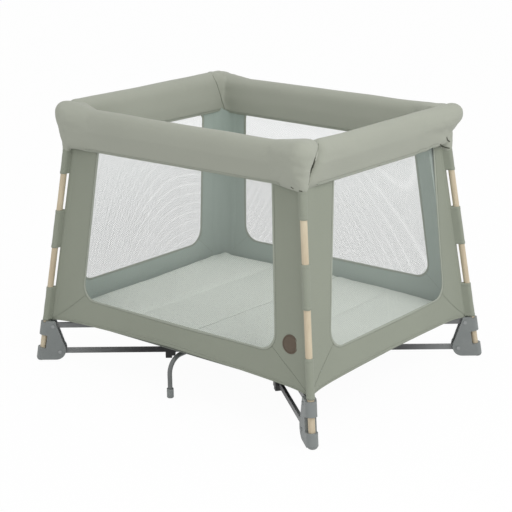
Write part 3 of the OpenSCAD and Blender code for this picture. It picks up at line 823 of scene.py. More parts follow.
class Repeat(Graph):
    """A Geometry Nodes tree with named sizes, which ends in Realize Instances and Set Material."""

    def __init__(self, name: str, sizes: dict[str, float]) -> None:
        """Starts a tree with one number input for each size."""
        super().__init__(bpy.data.node_groups.new(name, "GeometryNodeTree"))
        face = self.tree.interface
        face.new_socket("Geometry", in_out="INPUT", socket_type="NodeSocketGeometry")
        self.ids: dict[str, str] = {}
        for key, value in sizes.items():
            socket = face.new_socket(key, in_out="INPUT", socket_type="NodeSocketFloat")
            socket.default_value = value
            self.ids[key] = socket.identifier
        face.new_socket("Geometry", in_out="OUTPUT", socket_type="NodeSocketGeometry")
        self.source = self.add("NodeGroupInput").outputs
        self.sink = self.add("NodeGroupOutput")

    def end(self, geometry: bpy.types.NodeSocket) -> None:
        """Closes the tree."""
        real = self.add("GeometryNodeRealizeInstances", None, {0: geometry})
        self.paint = self.add("GeometryNodeSetMaterial", None, {0: real.outputs[0]})
        self.feed(self.sink, {0: self.paint.outputs[0]})

    def apply(
        self, piece: bpy.types.Object, material: bpy.types.Material, **sizes: float
    ) -> bpy.types.Object:
        """Runs the tree on a piece and keeps the result as plain mesh."""
        self.paint.inputs["Material"].default_value = material
        modifier = piece.modifiers.new(self.tree.name, "NODES")
        modifier.node_group = self.tree
        for key, value in sizes.items():
            modifier[self.ids[key]] = value
        settled(piece)
        return piece

    def sew(
        self, name: str, lines: Sequence[np.ndarray], material: bpy.types.Material, **sizes: float
    ) -> bpy.types.Object:
        """Makes a piece that follows some lines.

        Args:
            name: The piece's name.
            lines: Open lines of points.
            material: Its finish.
            sizes: Sizes that differ from the tree's own.

        Returns:
            The piece.
        """
        starts = np.cumsum([0] + [len(line) for line in lines[:-1]])
        edges = [(s + k, s + k + 1) for s, line in zip(starts, lines) for k in range(len(line) - 1)]
        mesh = bpy.data.meshes.new(name)
        mesh.from_pydata([tuple(p) for line in lines for p in line], edges, [])
        return self.apply(linked(name, mesh), material, **sizes)


class NetTree(Repeat):
    """Opens a hole in every face of a sheet, which leaves a net."""

    def __init__(self) -> None:
        """Builds the tree."""
        super().__init__("net_holes", {"Hole share": 0.87, "Depth": 0.00019})
        sheet = {"Mesh": self.source["Geometry"], "Offset Scale": self.source["Depth"], "Individual": True}
        cells = self.add("GeometryNodeExtrudeMesh", {"mode": "FACES"}, sheet)
        tops = {"Selection": cells.outputs["Top"]}
        shrunk = {"Geometry": cells.outputs["Mesh"], "Scale": self.source["Hole share"], **tops}
        holes = self.add("GeometryNodeScaleElements", {"domain": "FACE"}, shrunk)
        opened = {"Geometry": holes.outputs[0], **tops}
        net = self.add("GeometryNodeDeleteGeometry", {"domain": "FACE", "mode": "ALL"}, opened)
        self.end(net.outputs[0])


class StitchTree(Repeat):
    """Sews a row of stitches along every line of a wire."""

    def __init__(self) -> None:
        """Builds the tree."""
        super().__init__("stitch_row", {"Pitch": 0.0045, "Length": 0.0016, "Thickness": 0.00035})
        line = self.add("GeometryNodeMeshToCurve", None, {0: self.source["Geometry"]})
        spread = {"Curve": line.outputs[0], "Length": self.source["Pitch"]}
        even = self.add("GeometryNodeResampleCurve", {"mode": "LENGTH"}, spread)
        bead = self.add("GeometryNodeMeshIcoSphere", None, {"Radius": 1.0, "Subdivisions": 1})
        thick = self.source["Thickness"]
        shape = self.add("ShaderNodeCombineXYZ", None, {0: self.source["Length"], 1: thick, 2: thick})
        drawn = {"Geometry": bead.outputs["Mesh"], "Scale": shape.outputs[0]}
        stitch = self.add("GeometryNodeTransform", None, drawn)
        way = {"Vector": self.add("GeometryNodeInputTangent").outputs[0]}
        turn = self.add("FunctionNodeAlignRotationToVector", {"axis": "X"}, way)
        placed = {"Points": even.outputs[0], "Instance": stitch.outputs[0], "Rotation": turn.outputs[0]}
        self.end(self.add("GeometryNodeInstanceOnPoints", None, placed).outputs[0])


class PipingTree(Repeat):
    """Runs a round piping along every line of a wire."""

    def __init__(self) -> None:
        """Builds the tree."""
        super().__init__("piping_run", {"Radius": 0.0019})
        line = self.add("GeometryNodeMeshToCurve", None, {0: self.source["Geometry"]})
        size = {"Resolution": 7, "Radius": self.source["Radius"]}
        ring = self.add("GeometryNodeCurvePrimitiveCircle", None, size)
        run = {"Curve": line.outputs[0], "Profile Curve": ring.outputs[0], "Fill Caps": True}
        self.end(self.add("GeometryNodeCurveToMesh", None, run).outputs[0])


# Walls


@dataclass(frozen=True)
class HalfWall:
    """Half of a fabric wall: the cloth round half a window, its net and its stitching."""

    side: Side
    half: Half
    low_u: float
    high_u: float
    low: float
    corner_z: float = 0.125
    arch: tuple[float, float] = (0.009, 0.008)
    high: float = 0.660
    top: float = 0.698
    radius: float = 0.045
    upper_r: float = 0.02
    pull: float = 0.0085
    pull_span: float = 0.06
    steps: tuple[int, int, int] = (34, 54, 48)
    plain_columns: int = 10
    # Distance from the window's edge and half thickness there: tape, its groove and the plain cloth
    tape: tuple[tuple[float, float], ...] = (
        (0.0, 0.0004), (0.0006, 0.0013), (0.002, 0.0017), (0.0045, 0.0017),
        (0.0062, 0.0014), (0.0070, 0.0006), (0.0082, 0.0011),
    )
    # Distance from the outer edge and half thickness there: the hem
    hem: tuple[tuple[float, float], ...] = (
        (0.0135, 0.0011), (0.0125, 0.0008), (0.0112, 0.0014), (0.0012, 0.0014), (0.0, 0.0005),
    )
    # Shares of the thickness in the mitre's seam and beside it
    mitre_press: tuple[float, float] = (0.35, 1.12)
    # The slow waves, and the folds drawn to the lower corner
    slow: Ripple = Ripple(0.0012, (7, 6, 1))
    drawn: Ripple = Ripple(0.0009, (55, 9, 1))
    # Height at which those folds' corner is measured, their reach along, and their middle and reach up
    drawn_at: tuple[float, float, float, float] = (0.15, 0.09, 0.16, 0.07)
    net_pitch: float = 0.004
    net_tuck: float = 0.005
    net_level: float = 0.4
    yarn_share: float = 0.3
    # Distance from the edge or the mitre, and from the cloth's middle, of each row of stitches
    tape_row: tuple[float, float] = (0.0076, 0.0012)
    hem_row: tuple[float, float] = (0.0095, 0.0015)
    seam_row: tuple[float, float] = (0.0032, 0.0012)
    seam_span: tuple[float, float] = (0.012, 0.98)
    stitch: ClassVar[dict[str, float]] = {"Length": 0.0020, "Thickness": 0.00045}
    near: ClassVar[tuple[Side, ...]] = (Side.FRONT, Side.RIGHT)
    hole_shares: ClassVar[dict[bool, float]] = {True: 0.87, False: 0.862}
    diagonal: ClassVar[tuple[tuple[float, ...], ...]] = ((0.7, 0.7, 0), (-0.7, 0.7, 0), (0, 0, 1.0))

    @property
    def name(self) -> str:
        """The half wall's name."""
        return f"{self.side.tag}_{self.half.name.lower()}"

    @property
    def mitre(self) -> int:
        """The row of points in which the lower corner's seam lies."""
        return self.steps[0] + self.steps[1] - 2

    def skirt(self, share: np.ndarray) -> np.ndarray:
        """Height of the lower edge at a share of the half width."""
        return self.corner_z + self.arch[0] * (1 - share**6) + self.arch[1] * (1 - share**1.5) ** 2

    def window(self, grow: float = 0.0) -> list[np.ndarray]:
        """Three stretches of the window's edge, from its upper middle round to its lower middle."""
        start, end = np.array([0, self.high + grow]), np.array([0, self.low - grow])
        upper = np.array([self.high_u + grow, self.high + grow])
        lower = np.array([self.low_u + grow, self.low - grow])
        first = fillet(start, upper, lower, self.upper_r)
        second = fillet(upper, lower, end, self.radius + grow)
        middle = FILLET_POINTS // 2
        return [
            np.vstack([start, first[: middle + 1]]),
            np.vstack([first[middle:], second[: middle + 1]]),
            np.vstack([second[middle:], end]),
        ]

    def edge(self) -> list[np.ndarray]:
        """The matching stretches of the cloth's outer edge."""
        share = np.linspace(1, 0, 60)
        width = YARD.along(self.side, self.skirt(share))
        skirt = np.stack([share * width, self.skirt(share)], axis=-1)
        corner = np.array([float(YARD.along(self.side, self.top)), self.top])
        return [np.array([[0, self.top], corner]), np.array([corner, skirt[0]]), skirt]

    def rows(self, stretches: list[np.ndarray]) -> np.ndarray:
        """Points spread over three stretches, with the two corners kept."""
        parts = [evenly(path, count) for path, count in zip(stretches, self.steps)]
        return np.vstack([parts[0], parts[1][1:], parts[2][1:]])

    def waves(self, flat: np.ndarray) -> np.ndarray:
        """How far the cloth stands out of its plane at places along and up the wall."""
        u, z = flat[..., 0] * self.half.value, flat[..., 1]
        seed = 7.3 * self.side.value
        place = np.stack([u, z, np.zeros_like(u)], axis=-1)
        drawn = self.drawn.at(place @ np.array(self.diagonal), seed + 3)
        level, reach, middle, rise = self.drawn_at
        near = np.exp(-((np.abs(u) - float(YARD.along(self.side, level))) / reach) ** 2)
        low = np.exp(-(((z - middle) / rise) ** 2))
        return self.slow.at(place, seed) + drawn * near * low

    def put(self, flat: np.ndarray, out: np.ndarray | float = 0.0, slack: float = 1.0) -> np.ndarray:
        """Points of the frame for places on the wall, moved outwards, with its waves to a share."""
        u, z = flat[..., 0], flat[..., 1]
        near = np.clip(1 - (YARD.along(self.side, z) - u) / self.pull_span, 0, 1) ** 2 * self.pull
        d = YARD.outward(self.side, z) + slack * self.waves(flat) * (1 - near / self.pull) + out + near
        return self.side.place(self.half.value * (u + near), d, z)

    def cloth(self, finishes: Finishes) -> None:
        """Makes the fabric frame round the half window."""
        inner, outer = self.rows(self.window()), self.rows(self.edge())
        length = np.linalg.norm(outer - inner, axis=1, keepdims=True)
        tape, hem = np.array(self.tape), np.array(self.hem)
        room = length - tape[-1, 0] - hem[0, 0]
        plain = np.linspace(0, 1, self.plain_columns + 2)[1:-1]
        beside = np.broadcast_to(tape[:, 0], (len(length), len(tape)))
        away = np.hstack([beside, tape[-1, 0] + room * plain, length - hem[:, 0]])
        thick = np.r_[tape[:, 1], np.full(len(plain), YARD.cloth / 2), hem[:, 1]]
        flat = inner[:, None] + (outer - inner)[:, None] * (away / length)[..., None]
        half = np.broadcast_to(thick, away.shape).copy()
        span = slice(len(tape) - 1, None)
        pressed, raised = self.mitre_press
        half[self.mitre, span] *= pressed
        for row in (self.mitre - 1, self.mitre + 1):
            half[row, span] *= raised
        normal = self.side.place(0.0, 1.0, YARD.slope[1 if self.side.long else 0])
        normal /= np.linalg.norm(normal)
        materials = (finishes.sage, finishes.tape, finishes.lining)
        piece = layered(f"wall_{self.name}", self.put(flat), normal, half, materials)
        self.mark_faces(piece, self.put(inner), normal)
        float(YARD.along(self.side, YARD.floor_z))
        self.top - self.corner_z
        f"post_{corner_of(self.side, self.half)}"
        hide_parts(f"wall_{self.side.tag}")
        report(piece, "sage_fabric")
        FOLD.hang(piece, self.side, self.half)

    def mark_faces(self, piece: bpy.types.Object, edge: np.ndarray, outer: np.ndarray) -> None:
        """Gives the tape's finish to the faces beside the window, and the lining's to the inner faces.

        Args:
            piece: The cloth.
            edge: Points of the window's edge.
            outer: The direction of the cloth's outer face.
        """
        limit = self.tape[-2][0]
        for polygon in piece.data.polygons:
            near = np.linalg.norm(edge - np.array(polygon.center), axis=1).min()
            within = polygon.normal.dot(Vector(outer)) < -0.5
            polygon.material_index = 1 if near < limit else 2 if within else 0

    @staticmethod
    def area(inner: np.ndarray, outer: np.ndarray) -> float:
        """Flat area between the window's edge and the cloth's edge."""
        loop = np.vstack([inner, outer[::-1]])
        x, z = loop[:, 0], loop[:, 1]
        return float(abs(np.dot(x, np.roll(z, -1)) - np.dot(z, np.roll(x, -1))) / 2)

    def cells(self, at: np.ndarray) -> np.ndarray:
        """Places on the wall of points counted in the net's cells, along their two directions."""
        p = self.net_pitch / math.sqrt(2)
        return np.stack([(at[:, 0] + at[:, 1]) * p, (at[:, 0] - at[:, 1]) * p + self.net_level], axis=-1)

    def net(self, tree: NetTree, finishes: Finishes) -> None:
        """Makes the net in the half window, from diamond cells that end inside the cloth."""
        name = f"net_{self.name}"
        outline = np.vstack(self.window(self.net_tuck))
        reach = int(1.1 * (outline[:, 0].max() + outline[:, 1].max()) / (self.net_pitch / math.sqrt(2)))
        count = np.arange(-reach, reach)
        at = np.stack(np.meshgrid(count, count, indexing="ij"), axis=-1).reshape(-1, 2)
        middles = self.cells(at + 0.5)
        loop = np.vstack([outline, [[-0.0001, outline[-1, 1]], [-0.0001, outline[0, 1]]]])
        # The cells on the middle line belong to half a
        keep = (middles[:, 0] > (1e-6 if self.half is Half.B else -1e-6)) & inside(middles, loop)
        corners = np.stack([at[keep] + step for step in ((0, 0), (1, 0), (1, 1), (0, 1))], axis=1)
        unique, where = np.unique(corners.reshape(-1, 2), axis=0, return_inverse=True)
        flat = self.cells(unique)
        mesh = bpy.data.meshes.new(name)
        mesh.from_pydata([tuple(v) for v in self.put(flat, slack=0.0)], [], where.reshape(-1, 4).tolist())
        near = self.side in self.near
        share = {"Hole share": self.hole_shares[near]}
        # The far walls' nets take the yarn with painted light at the top and painted shade low down
        piece = tree.apply(linked(name, mesh), finishes.net if near else finishes.far_net, **share)
        wide, high = (float(size) for size in np.ptp(flat, axis=0))
        f"wall_{self.name}"
        self.yarn_share * wide * high
        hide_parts("side_nets" if self.side.long else "end_nets")
        report(piece, "mesh")
        FOLD.hang(piece, self.side, self.half)

    def stitching(self, tree: StitchTree, finishes: Finishes) -> None:
        """Sews the tape, the hem and the mitre seam, on both faces of the cloth."""
        inner, outer = self.rows(self.window()), self.rows(self.edge())
        step = (outer - inner) / np.linalg.norm(outer - inner, axis=1, keepdims=True)
        m = self.mitre
        by_tape, tape_lift = self.tape_row
        by_hem, hem_lift = self.hem_row
        aside, seam_lift = self.seam_row
        seam = inner[m] + (outer[m] - inner[m]) * np.linspace(*self.seam_span, 60)[:, None]
        rows = (
            (inner + step * by_tape, tape_lift),
            (outer[m:] - step[m:] * by_hem, hem_lift),
            (seam + np.array([aside, 0.0]), seam_lift),
        )
        lines = [self.put(flat, face * lift) for face in (-1, 1) for flat, lift in rows]
        piece = tree.sew(f"wall_stitches_{self.name}", lines, finishes.thread, **self.stitch)
        report(piece, "sage_fabric")
        FOLD.hang(piece, self.side, self.half)


def hull_2d(points: np.ndarray) -> np.ndarray:
    """The convex outline of flat points, in order."""
    order = points[np.lexsort((points[:, 1], points[:, 0]))]
    chains = []
    for rows in (order, order[::-1]):
        chain: list[np.ndarray] = []
        for p in rows:
            while len(chain) > 1:
                a, b = chain[-1] - chain[-2], p - chain[-1]
                if a[0] * b[1] - a[1] * b[0] > 0:
                    break
                chain.pop()
            chain.append(p)
        chains += chain[:-1]
    return np.array(chains)


def inside(points: np.ndarray, loop: np.ndarray) -> np.ndarray:
    """True for each point inside a closed loop of points."""
    x, y = points[:, 0], points[:, 1]
    found = np.zeros(len(points), bool)
    for (ax, ay), (bx, by) in zip(loop, np.roll(loop, -1, axis=0)):
        crosses = (ay > y) != (by > y)
        at = (bx - ax) * (y - ay) / (by - ay if by != ay else 1e-12) + ax
        found ^= crosses & (x < at)
    return found


@dataclass(frozen=True)
class PostSleeve:
    """A fabric sleeve round a post, drawn together into a web on the wall's corner."""

    corner: str
    span: tuple[float, float]
    number: int
    radius: float = 0.0108
    tail: tuple[float, float] = (-0.0135, -0.0185)
    tail_r: float = 0.0012
    play: float = 0.0003
    slack: Ripple = Ripple(0.0005, (60, 38, 1))
    around: int = 64
    rings: int = 22
    # Distance from an end and swelling there: the hem
    hem: tuple[tuple[float, float], ...] = (
        (0.0, -0.0006), (0.0008, 0.0005), (0.0078, 0.0005), (0.009, -0.0003), (0.0105, 0.0),
    )
    plain: float = 0.015

    def outline(self) -> np.ndarray:
        """The sleeve's outer loop: x outwards from the short wall, y along it towards the post."""
        unit = np.stack(circle(96), axis=-1)
        loop = hull_2d(np.vstack([self.radius * unit, np.array(self.tail) + self.tail_r * unit]))
        return evenly(np.vstack([loop, loop[:1]]), self.around + 1)[:-1]

    def ring(self, loop: np.ndarray, z: float) -> np.ndarray:
        """Points of the frame for a flat loop round the post's axis at a height."""
        sx, sy = CORNERS[self.corner]
        flat = np.stack([sx * loop[:, 0], sy * loop[:, 1], 0 * loop[:, 0]], axis=-1)
        return np.array(YARD.post_axis(self.corner, z)) + flat

    def make(self, finishes: Finishes) -> None:
        """Makes the sleeve."""
        sx, sy = CORNERS[self.corner]
        loop = self.outline()
        length = np.linalg.norm(loop, axis=1)
        angle = np.arctan2(loop[:, 1], loop[:, 0])
        bore = (YARD.post_r + self.play) * np.stack([np.cos(angle), np.sin(angle)], axis=-1)
        low, high = self.span
        tall = high - low
        marks, swells = np.array(self.hem).T
        rise = np.r_[marks, np.linspace(self.plain, tall - self.plain, self.rings), tall - marks[::-1]]
        swell = np.interp(rise, marks, swells) + np.interp(tall - rise, marks, swells)
        same = np.ones(len(angle))
        rows = []
        for z, grow in zip(low + rise, swell):
            place = np.stack([angle * 0.02 + sx, z * same, sy * 3.0 * same], axis=-1)
            crumple = self.slack.at(place, 11.0 * self.number)
            rows.append(self.ring(loop * (1 + (grow + crumple) / length)[:, None], z))
        points = np.vstack(rows + [self.ring(bore, z) for z in (low, high)])
        count, n = len(rows), self.around
        faces = grid_faces(count, n, 0, True) + [f[::-1] for f in grid_faces(2, n, count * n, True)]
        top = (count - 1) * n
        for k in range(n):
            m = (k + 1) % n
            faces.append((k, m, count * n + m, count * n + k))
            faces.append((top + m, top + k, (count + 1) * n + k, (count + 1) * n + m))
        piece = mesh_piece(f"sleeve_{self.corner}_{self.number}", points, faces, (finishes.sage,))
        report(piece, "sage_fabric")
        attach(piece, f"corner_{self.corner}")


@dataclass(frozen=True)
class CornerLining:
    """The rounded inner corner in which two walls' fabric runs on."""

    corner: str
    face: float = 0.0216
    round_r: float = 0.040
    reach: float = 0.074
    sunk: float = 0.0024
    low: float = 0.150
    high: float = 0.690
    slack: Ripple = Ripple(0.0011, (22, 22, 9))
    half_thick: float = 0.0004
    grid: tuple[int, int] = (40, 34)

    def make(self, finishes: Finishes) -> None:
        """Makes the lining from the two walls' inner faces."""
        sx, sy = CORNERS[self.corner]
        levels, columns = self.grid
        f, tip = self.face, self.face - self.sunk
        bend = fillet(np.array([f, self.reach]), np.array([f, f]), np.array([self.reach, f]), self.round_r)
        path = evenly(np.vstack([[[tip, self.reach]], bend, [[self.reach, tip]]]), columns)
        step = np.gradient(path, axis=0)
        across = np.stack([step[:, 1], -step[:, 0]], axis=-1)
        across /= np.linalg.norm(across, axis=1, keepdims=True)
        out = np.stack([-sx * across[:, 0], -sy * across[:, 1], 0 * across[:, 0]], axis=-1)
        axis = np.array([YARD.post_axis(self.corner, z) for z in np.linspace(self.low, self.high, levels)])
        flat = np.stack([-sx * path[:, 0], -sy * path[:, 1], 0 * path[:, 0]], axis=-1)
        middle = axis[:, None] + flat[None]
        middle += out * self.slack.at(middle, 5.0 * sx + 9.0 * sy)[..., None]
        half = np.full(middle.shape[:2], self.half_thick)
        normal = np.broadcast_to(out, middle.shape)
        piece = layered(f"corner_lining_{self.corner}", middle, normal, half, (finishes.lining,))
        report(piece, "sage_fabric")
        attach(piece, f"corner_{self.corner}")


# Padded pieces


@dataclass(frozen=True)
class Dent:
    """A long place at which fabric is drawn in: its middle, way, length and width, and its movement."""

    middle: tuple[float, float, float]
    way: tuple[float, float, float]
    long: float
    wide: float
    push: tuple[float, float, float]

    def move(self, points: np.ndarray) -> np.ndarray:
        """How far each point is drawn in."""
        away = points - np.array(self.middle)
        along = away @ np.array(self.way)
        across = np.linalg.norm(away - np.outer(along, self.way), axis=1)
        return np.outer(np.exp(-((along / self.long) ** 2) - (across / self.wide) ** 2), self.push)


@dataclass(frozen=True)
class CoverShape:
    """The cross-section of one rail cover as it is stuffed and drawn down."""

    out: float
    up: float
    radius: float
    low: float
    low_tilt: float = 0.0
    rise: float = 0.0


@dataclass(frozen=True)
class RailCover:
    """A padded rail cover: a long one ends in corner pouches, a short one butts against them."""

    side: Side
    edge_r: float = 0.0055
    snout: tuple[float, float] = (0.6325, 0.0128)
    short_stop: float = 0.041
    short_slant: float = 0.034
    settle: float = 0.0055
    tilt: float = 0.0146
    shapes: ClassVar[dict[Side, CoverShape]] = {
        Side.FRONT: CoverShape(0.0, 0.0045, 0.0250, 0.6340),
        Side.RIGHT: CoverShape(0.0015, 0.0092, 0.0222, 0.6285, rise=0.008),
        Side.BACK: CoverShape(0.0, 0.0100, 0.0250, 0.6465, low_tilt=0.018),
        Side.LEFT: CoverShape(0.005, 0.0215, 0.0265, 0.6545, rise=0.012),
    }
    # Radius, overhang, top and length of each pouch, and how far it wraps round to the short rail
    heads: ClassVar[dict[str, tuple[float, float, float, float, float]]] = {
        "front_left": (0.0360, 0.0095, 0.7800, 0.095, 0.050),
        "front_right": (0.0345, 0.0085, 0.7755, 0.085, 0.048),
        "back_left": (0.0330, 0.0110, 0.7815, 0.110, 0.0),
        "back_right": (0.0260, 0.0040, 0.7720, 0.085, 0.040),
    }
    butt: ClassVar[str] = "front_right"
    flare: ClassVar[str] = "back_right"
    # The gap between the front right pouch and the end that butts against it
    dents: ClassVar[dict[Side, tuple[Dent, ...]]] = {
        Side.FRONT: (
            Dent((0.424, -0.318, 0.694), (0.0, -0.334, -0.943), 0.022, 0.013, (-0.012, -0.010, 0.0)),
        ),
        Side.RIGHT: (
            Dent((0.424, -0.318, 0.694), (0.0, -0.334, -0.943), 0.024, 0.013, (-0.008, 0.020, 0.0)),
            Dent((0.430, -0.324, 0.688), (0.0, -0.334, -0.943), 0.048, 0.021, (-0.022, 0.004, 0.0)),
        ),
    }
    hung: ClassVar[tuple[str, ...]] = ("front_left", "back_left")
    capped: ClassVar[str] = "back_left"
    # The cap that a pouch lays over the short cover's end: wrap, height over the rail, radius, overhang
    cap: ClassVar[tuple[float, float, float, float]] = (0.066, 0.0250, 0.0272, 0.005)
    # Radius, overhang and top of the flared end's head, and heights and radii of its neck
    flare_head: ClassVar[tuple[float, float, float]] = (0.0310, 0.0215, 0.7730)
    flare_neck: ClassVar[tuple[tuple[float, float], ...]] = (
        (0.692, 0.0225), (0.676, 0.0180), (0.660, 0.0135), (0.655, 0.0130), (0.651, 0.0140),
    )
    # Shares of the radius, and heights, at which the fabric turns straight down
    belly: ClassVar[tuple[tuple[float, float], ...]] = ((0.9, -0.03), (-1.02, -0.035))
    # Height below which a slanted end leans, and the height over which it does
    slant_span: ClassVar[tuple[float, float]] = (0.02, 0.1)
    # Radius and height over the rail of the ring in which a pouch wraps round
    wrap_ring: ClassVar[tuple[float, float]] = (0.024, 0.0085)
    # Heights over the snout's end: of a pouch's last ring, of a hung pouch's, and of a hung pouch's tube
    snout_top: ClassVar[float] = 0.004
    hung_top: ClassVar[float] = 0.012
    tube: ClassVar[tuple[float, float]] = (-0.003, 0.06)
    # Place along and across from the corner, radius and height of the cap's foot
    cap_foot: ClassVar[tuple[float, float, float, float]] = (0.016, 0.022, 0.01, 0.662)
    # Where the flared end starts, and the heights above which the run joins its head and its throat
    flare_from: ClassVar[float] = 0.16
    flare_joins: ClassVar[tuple[float, float]] = (0.68, 0.65)
    # How far the throat lies from the head, along, across and down, and how much smaller it is
    throat: ClassVar[tuple[float, float, float, float]] = (0.010, 0.008, 0.016, 0.007)
    # Distances of the run's ends from the corners: at a pouch, at the capped one and at the flared end
    run_stop: ClassVar[float] = 0.065
    capped_stop: ClassVar[float] = 0.018
    flare_stop: ClassVar[float] = 0.14
    # Distance and fullness of the slices that end a short run: where it butts, and in a hung pouch
    butt_steps: ClassVar[tuple[tuple[float, float], ...]] = ((0.0, -0.016), (0.008, -0.007), (0.022, 0.0))
    tucked_steps: ClassVar[tuple[tuple[float, float], ...]] = ((0.004, -0.004), (0.10, 0.0))
    # Height over the lower edge and lift of the stitches and of the piping
    stitch_row: ClassVar[tuple[float, float]] = (0.0080, 0.0001)
    piping_row: ClassVar[tuple[float, float]] = (0.0025, 0.0004)
    stitch_thick: ClassVar[float] = 0.0006
    # Inner and outer face, and how far before the corner the sewn rows stop on it
    row_stops: ClassVar[tuple[tuple[int, float], ...]] = ((-1, 0.012), (1, 0.060))
    row_start: ClassVar[float] = 0.004
    row_points: ClassVar[int] = 130
    # Place inside the rail's axis and height from which the lower edge is looked for, and its highest place
    edge_from: ClassVar[tuple[float, float]] = (0.012, 0.5)
    edge_top: ClassVar[float] = 0.05
    # Middle of the cover's lower edge inside the rail's axis, and distance from which a face is looked for
    face_from: ClassVar[tuple[float, float]] = (0.02, 0.09)
    # Top of the held lower edge, and the height over which it gets loose
    held_span: ClassVar[tuple[float, float]] = (0.012, 0.008)
    # Soft dents along the run, and the corners' folds with their reach
    soft: ClassVar[Ripple] = Ripple(0.0016, (9, 9, 14))
    folds: ClassVar[Ripple] = Ripple(0.0016, (38, 38, 60))
    fold_reach: ClassVar[float] = 0.07
    calm_span: ClassVar[tuple[float, float]] = (0.008, 0.03)
    # Height above which the cover settles and tilts, and the place from which a tilted lower edge falls
    settle_z: ClassVar[float] = 0.66
    tilt_x: ClassVar[float] = 0.3
    # Where the cover starts and ends to bend, from the rail's pivot
    bend_span: ClassVar[tuple[float, float]] = (0.012, -0.07)

    @property
    def shape(self) -> CoverShape:
        """This cover's cross-section."""
        return self.shapes[self.side]

    def section(self, grow: float = 0.0) -> np.ndarray:
        """Points of the cover's cross-section: outwards from the rail's axis, and up from it."""
        ring = np.stack(circle(28), axis=-1)
        shape = self.shape
        wide = shape.radius + grow
        drop = YARD.rail_z - shape.low - self.edge_r
        shift = YARD.slope[1 if self.side.long else 0] * drop - YARD.inset + YARD.cloth / 2
        crown = ring * wide + [shape.out, shape.up]
        edge = ring * self.edge_r + [shift, -drop]
        belly = np.array([[shape.out + wide * share, up] for share, up in self.belly])
        return np.vstack([crown, edge, belly])

    def slice_at(self, u: float, grow: float = 0.0, slant: float = 0.0) -> np.ndarray:
        """The cross-section at a place along the rail, in the frame.

        Args:
            u: The place of its upper edge along the rail.
            grow: How much fuller than usual it is.
            slant: How much further out along the rail its lower edge is.

        Returns:
            Its points.
        """
        flat = self.section(grow)
        reach = YARD.rail(self.side)[1]
        top, span = self.slant_span
        lean = math.copysign(slant, u) * np.clip((top - flat[:, 1]) / span, 0, 1)
        return self.side.place(u + lean, reach + flat[:, 0], YARD.rail_z + flat[:, 1])

    @staticmethod
    def ball(centre: np.ndarray, radius: float) -> np.ndarray:
        """Points of a ball."""
        around, up = np.meshgrid(np.linspace(0, math.tau, 24, endpoint=False), np.linspace(-1.5, 1.5, 11))
        unit = np.stack([np.cos(around) * np.cos(up), np.sin(around) * np.cos(up), np.sin(up)], axis=-1)
        return centre + radius * unit.reshape(-1, 3)

    @staticmethod
    def hoop(corner: str, z: float, radius: float) -> np.ndarray:
        """Points of a level circle round a post."""
        cos, sin = circle(20)
        return np.array(YARD.post_axis(corner, z)) + radius * np.stack([cos, sin, 0 * cos], axis=-1)

    def pouch(self, half: Half) -> list[np.ndarray]:
        """Points whose hulls are the pouch over a corner, which narrows to a snout on the post."""
        length, reach = YARD.rail(self.side)
        corner = corner_of(self.side, half)
        radius, out, top, span, wrap = self.heads[corner]
        head = self.ball(self.side.place(half.value * (length + out), reach + out, top - radius), radius)
        body = [head, self.slice_at(half.value * (length - span))]
        cos, sin = circle(20)
        if wrap:
            wide, up = self.wrap_ring
            along, height = half.value * (length + wide * cos), YARD.rail_z + up + wide * sin
            body.append(self.side.place(along, reach - wrap, height))
        low, r = self.snout
        if corner not in self.hung:
            return [np.vstack(body + [self.hoop(corner, z, r) for z in (low, low + self.snout_top)])]
        tube = np.vstack([self.hoop(corner, low + up, r) for up in self.tube])
        hulls = [np.vstack(body + [self.hoop(corner, low + self.hung_top, r)]), tube]
        if corner == self.capped:
            back, up, wide, over = self.cap
            # The cap is open below
            cos_up, sin_up = cos[sin > -0.5], sin[sin > -0.5]
            along, height = half.value * (length + over + wide * cos_up), YARD.rail_z + up + wide * sin_up
            rim = self.side.place(along, reach - back, height)
            back, aside, r, z = self.cap_foot
            foot = self.side.place(half.value * (length - back + r * cos), reach - aside + r * sin, z)
            hulls.append(np.vstack([head, rim, foot]))
        return hulls

    def flared(self, half: Half) -> list[np.ndarray]:
        """Points whose hulls are the short cover's end over a corner: its head, throat and neck."""
        length, reach = YARD.rail(self.side)
        corner = corner_of(self.side, half)
        radius, out, top = self.flare_head
        centre = self.side.place(half.value * (length + out), reach + out, top - radius)
        slab = self.slice_at(half.value * (length - self.flare_from))
        neck = [self.hoop(corner, z, r) for z, r in self.flare_neck]
        head_z, throat_z = self.flare_joins
        head = np.vstack([self.ball(centre, radius), slab[slab[:, 2] > head_z], *neck[:2]])
        along, across, down, less = self.throat
        u, d, z = half.value * (length + out - along), reach + out - across, top - radius - down
        under = self.ball(self.side.place(u, d, z), radius - less)
        throat = np.vstack([under, slab[slab[:, 2] > throat_z], *neck[:3]])
        return [head, throat, np.vstack([slab, *neck])]

    def rough(self) -> list[np.ndarray]:
        """Points whose hulls are the cover: the run, a long one's pouches and a short one's ends."""
        length, _ = YARD.rail(self.side)
        hulls, slices = [], []
        for half in Half:
            corner = corner_of(self.side, half)
            steps, slant = self.tucked_steps, 0.0
            if self.side.long:
                steps = ((self.capped_stop if corner == self.capped else self.run_stop, 0.0),)
                hulls += self.pouch(half)
            elif corner == self.butt:
                steps, slant = tuple((self.short_stop + b, g) for b, g in self.butt_steps), self.short_slant
            elif corner == self.flare:
                steps = ((self.flare_stop, 0.0),)
                hulls += self.flared(half)
            slices += [self.slice_at(half.value * (length - b), g, slant) for b, g in steps]
        run = np.vstack(slices)
        return [run, *hulls] if self.side.long else [*hulls, run]

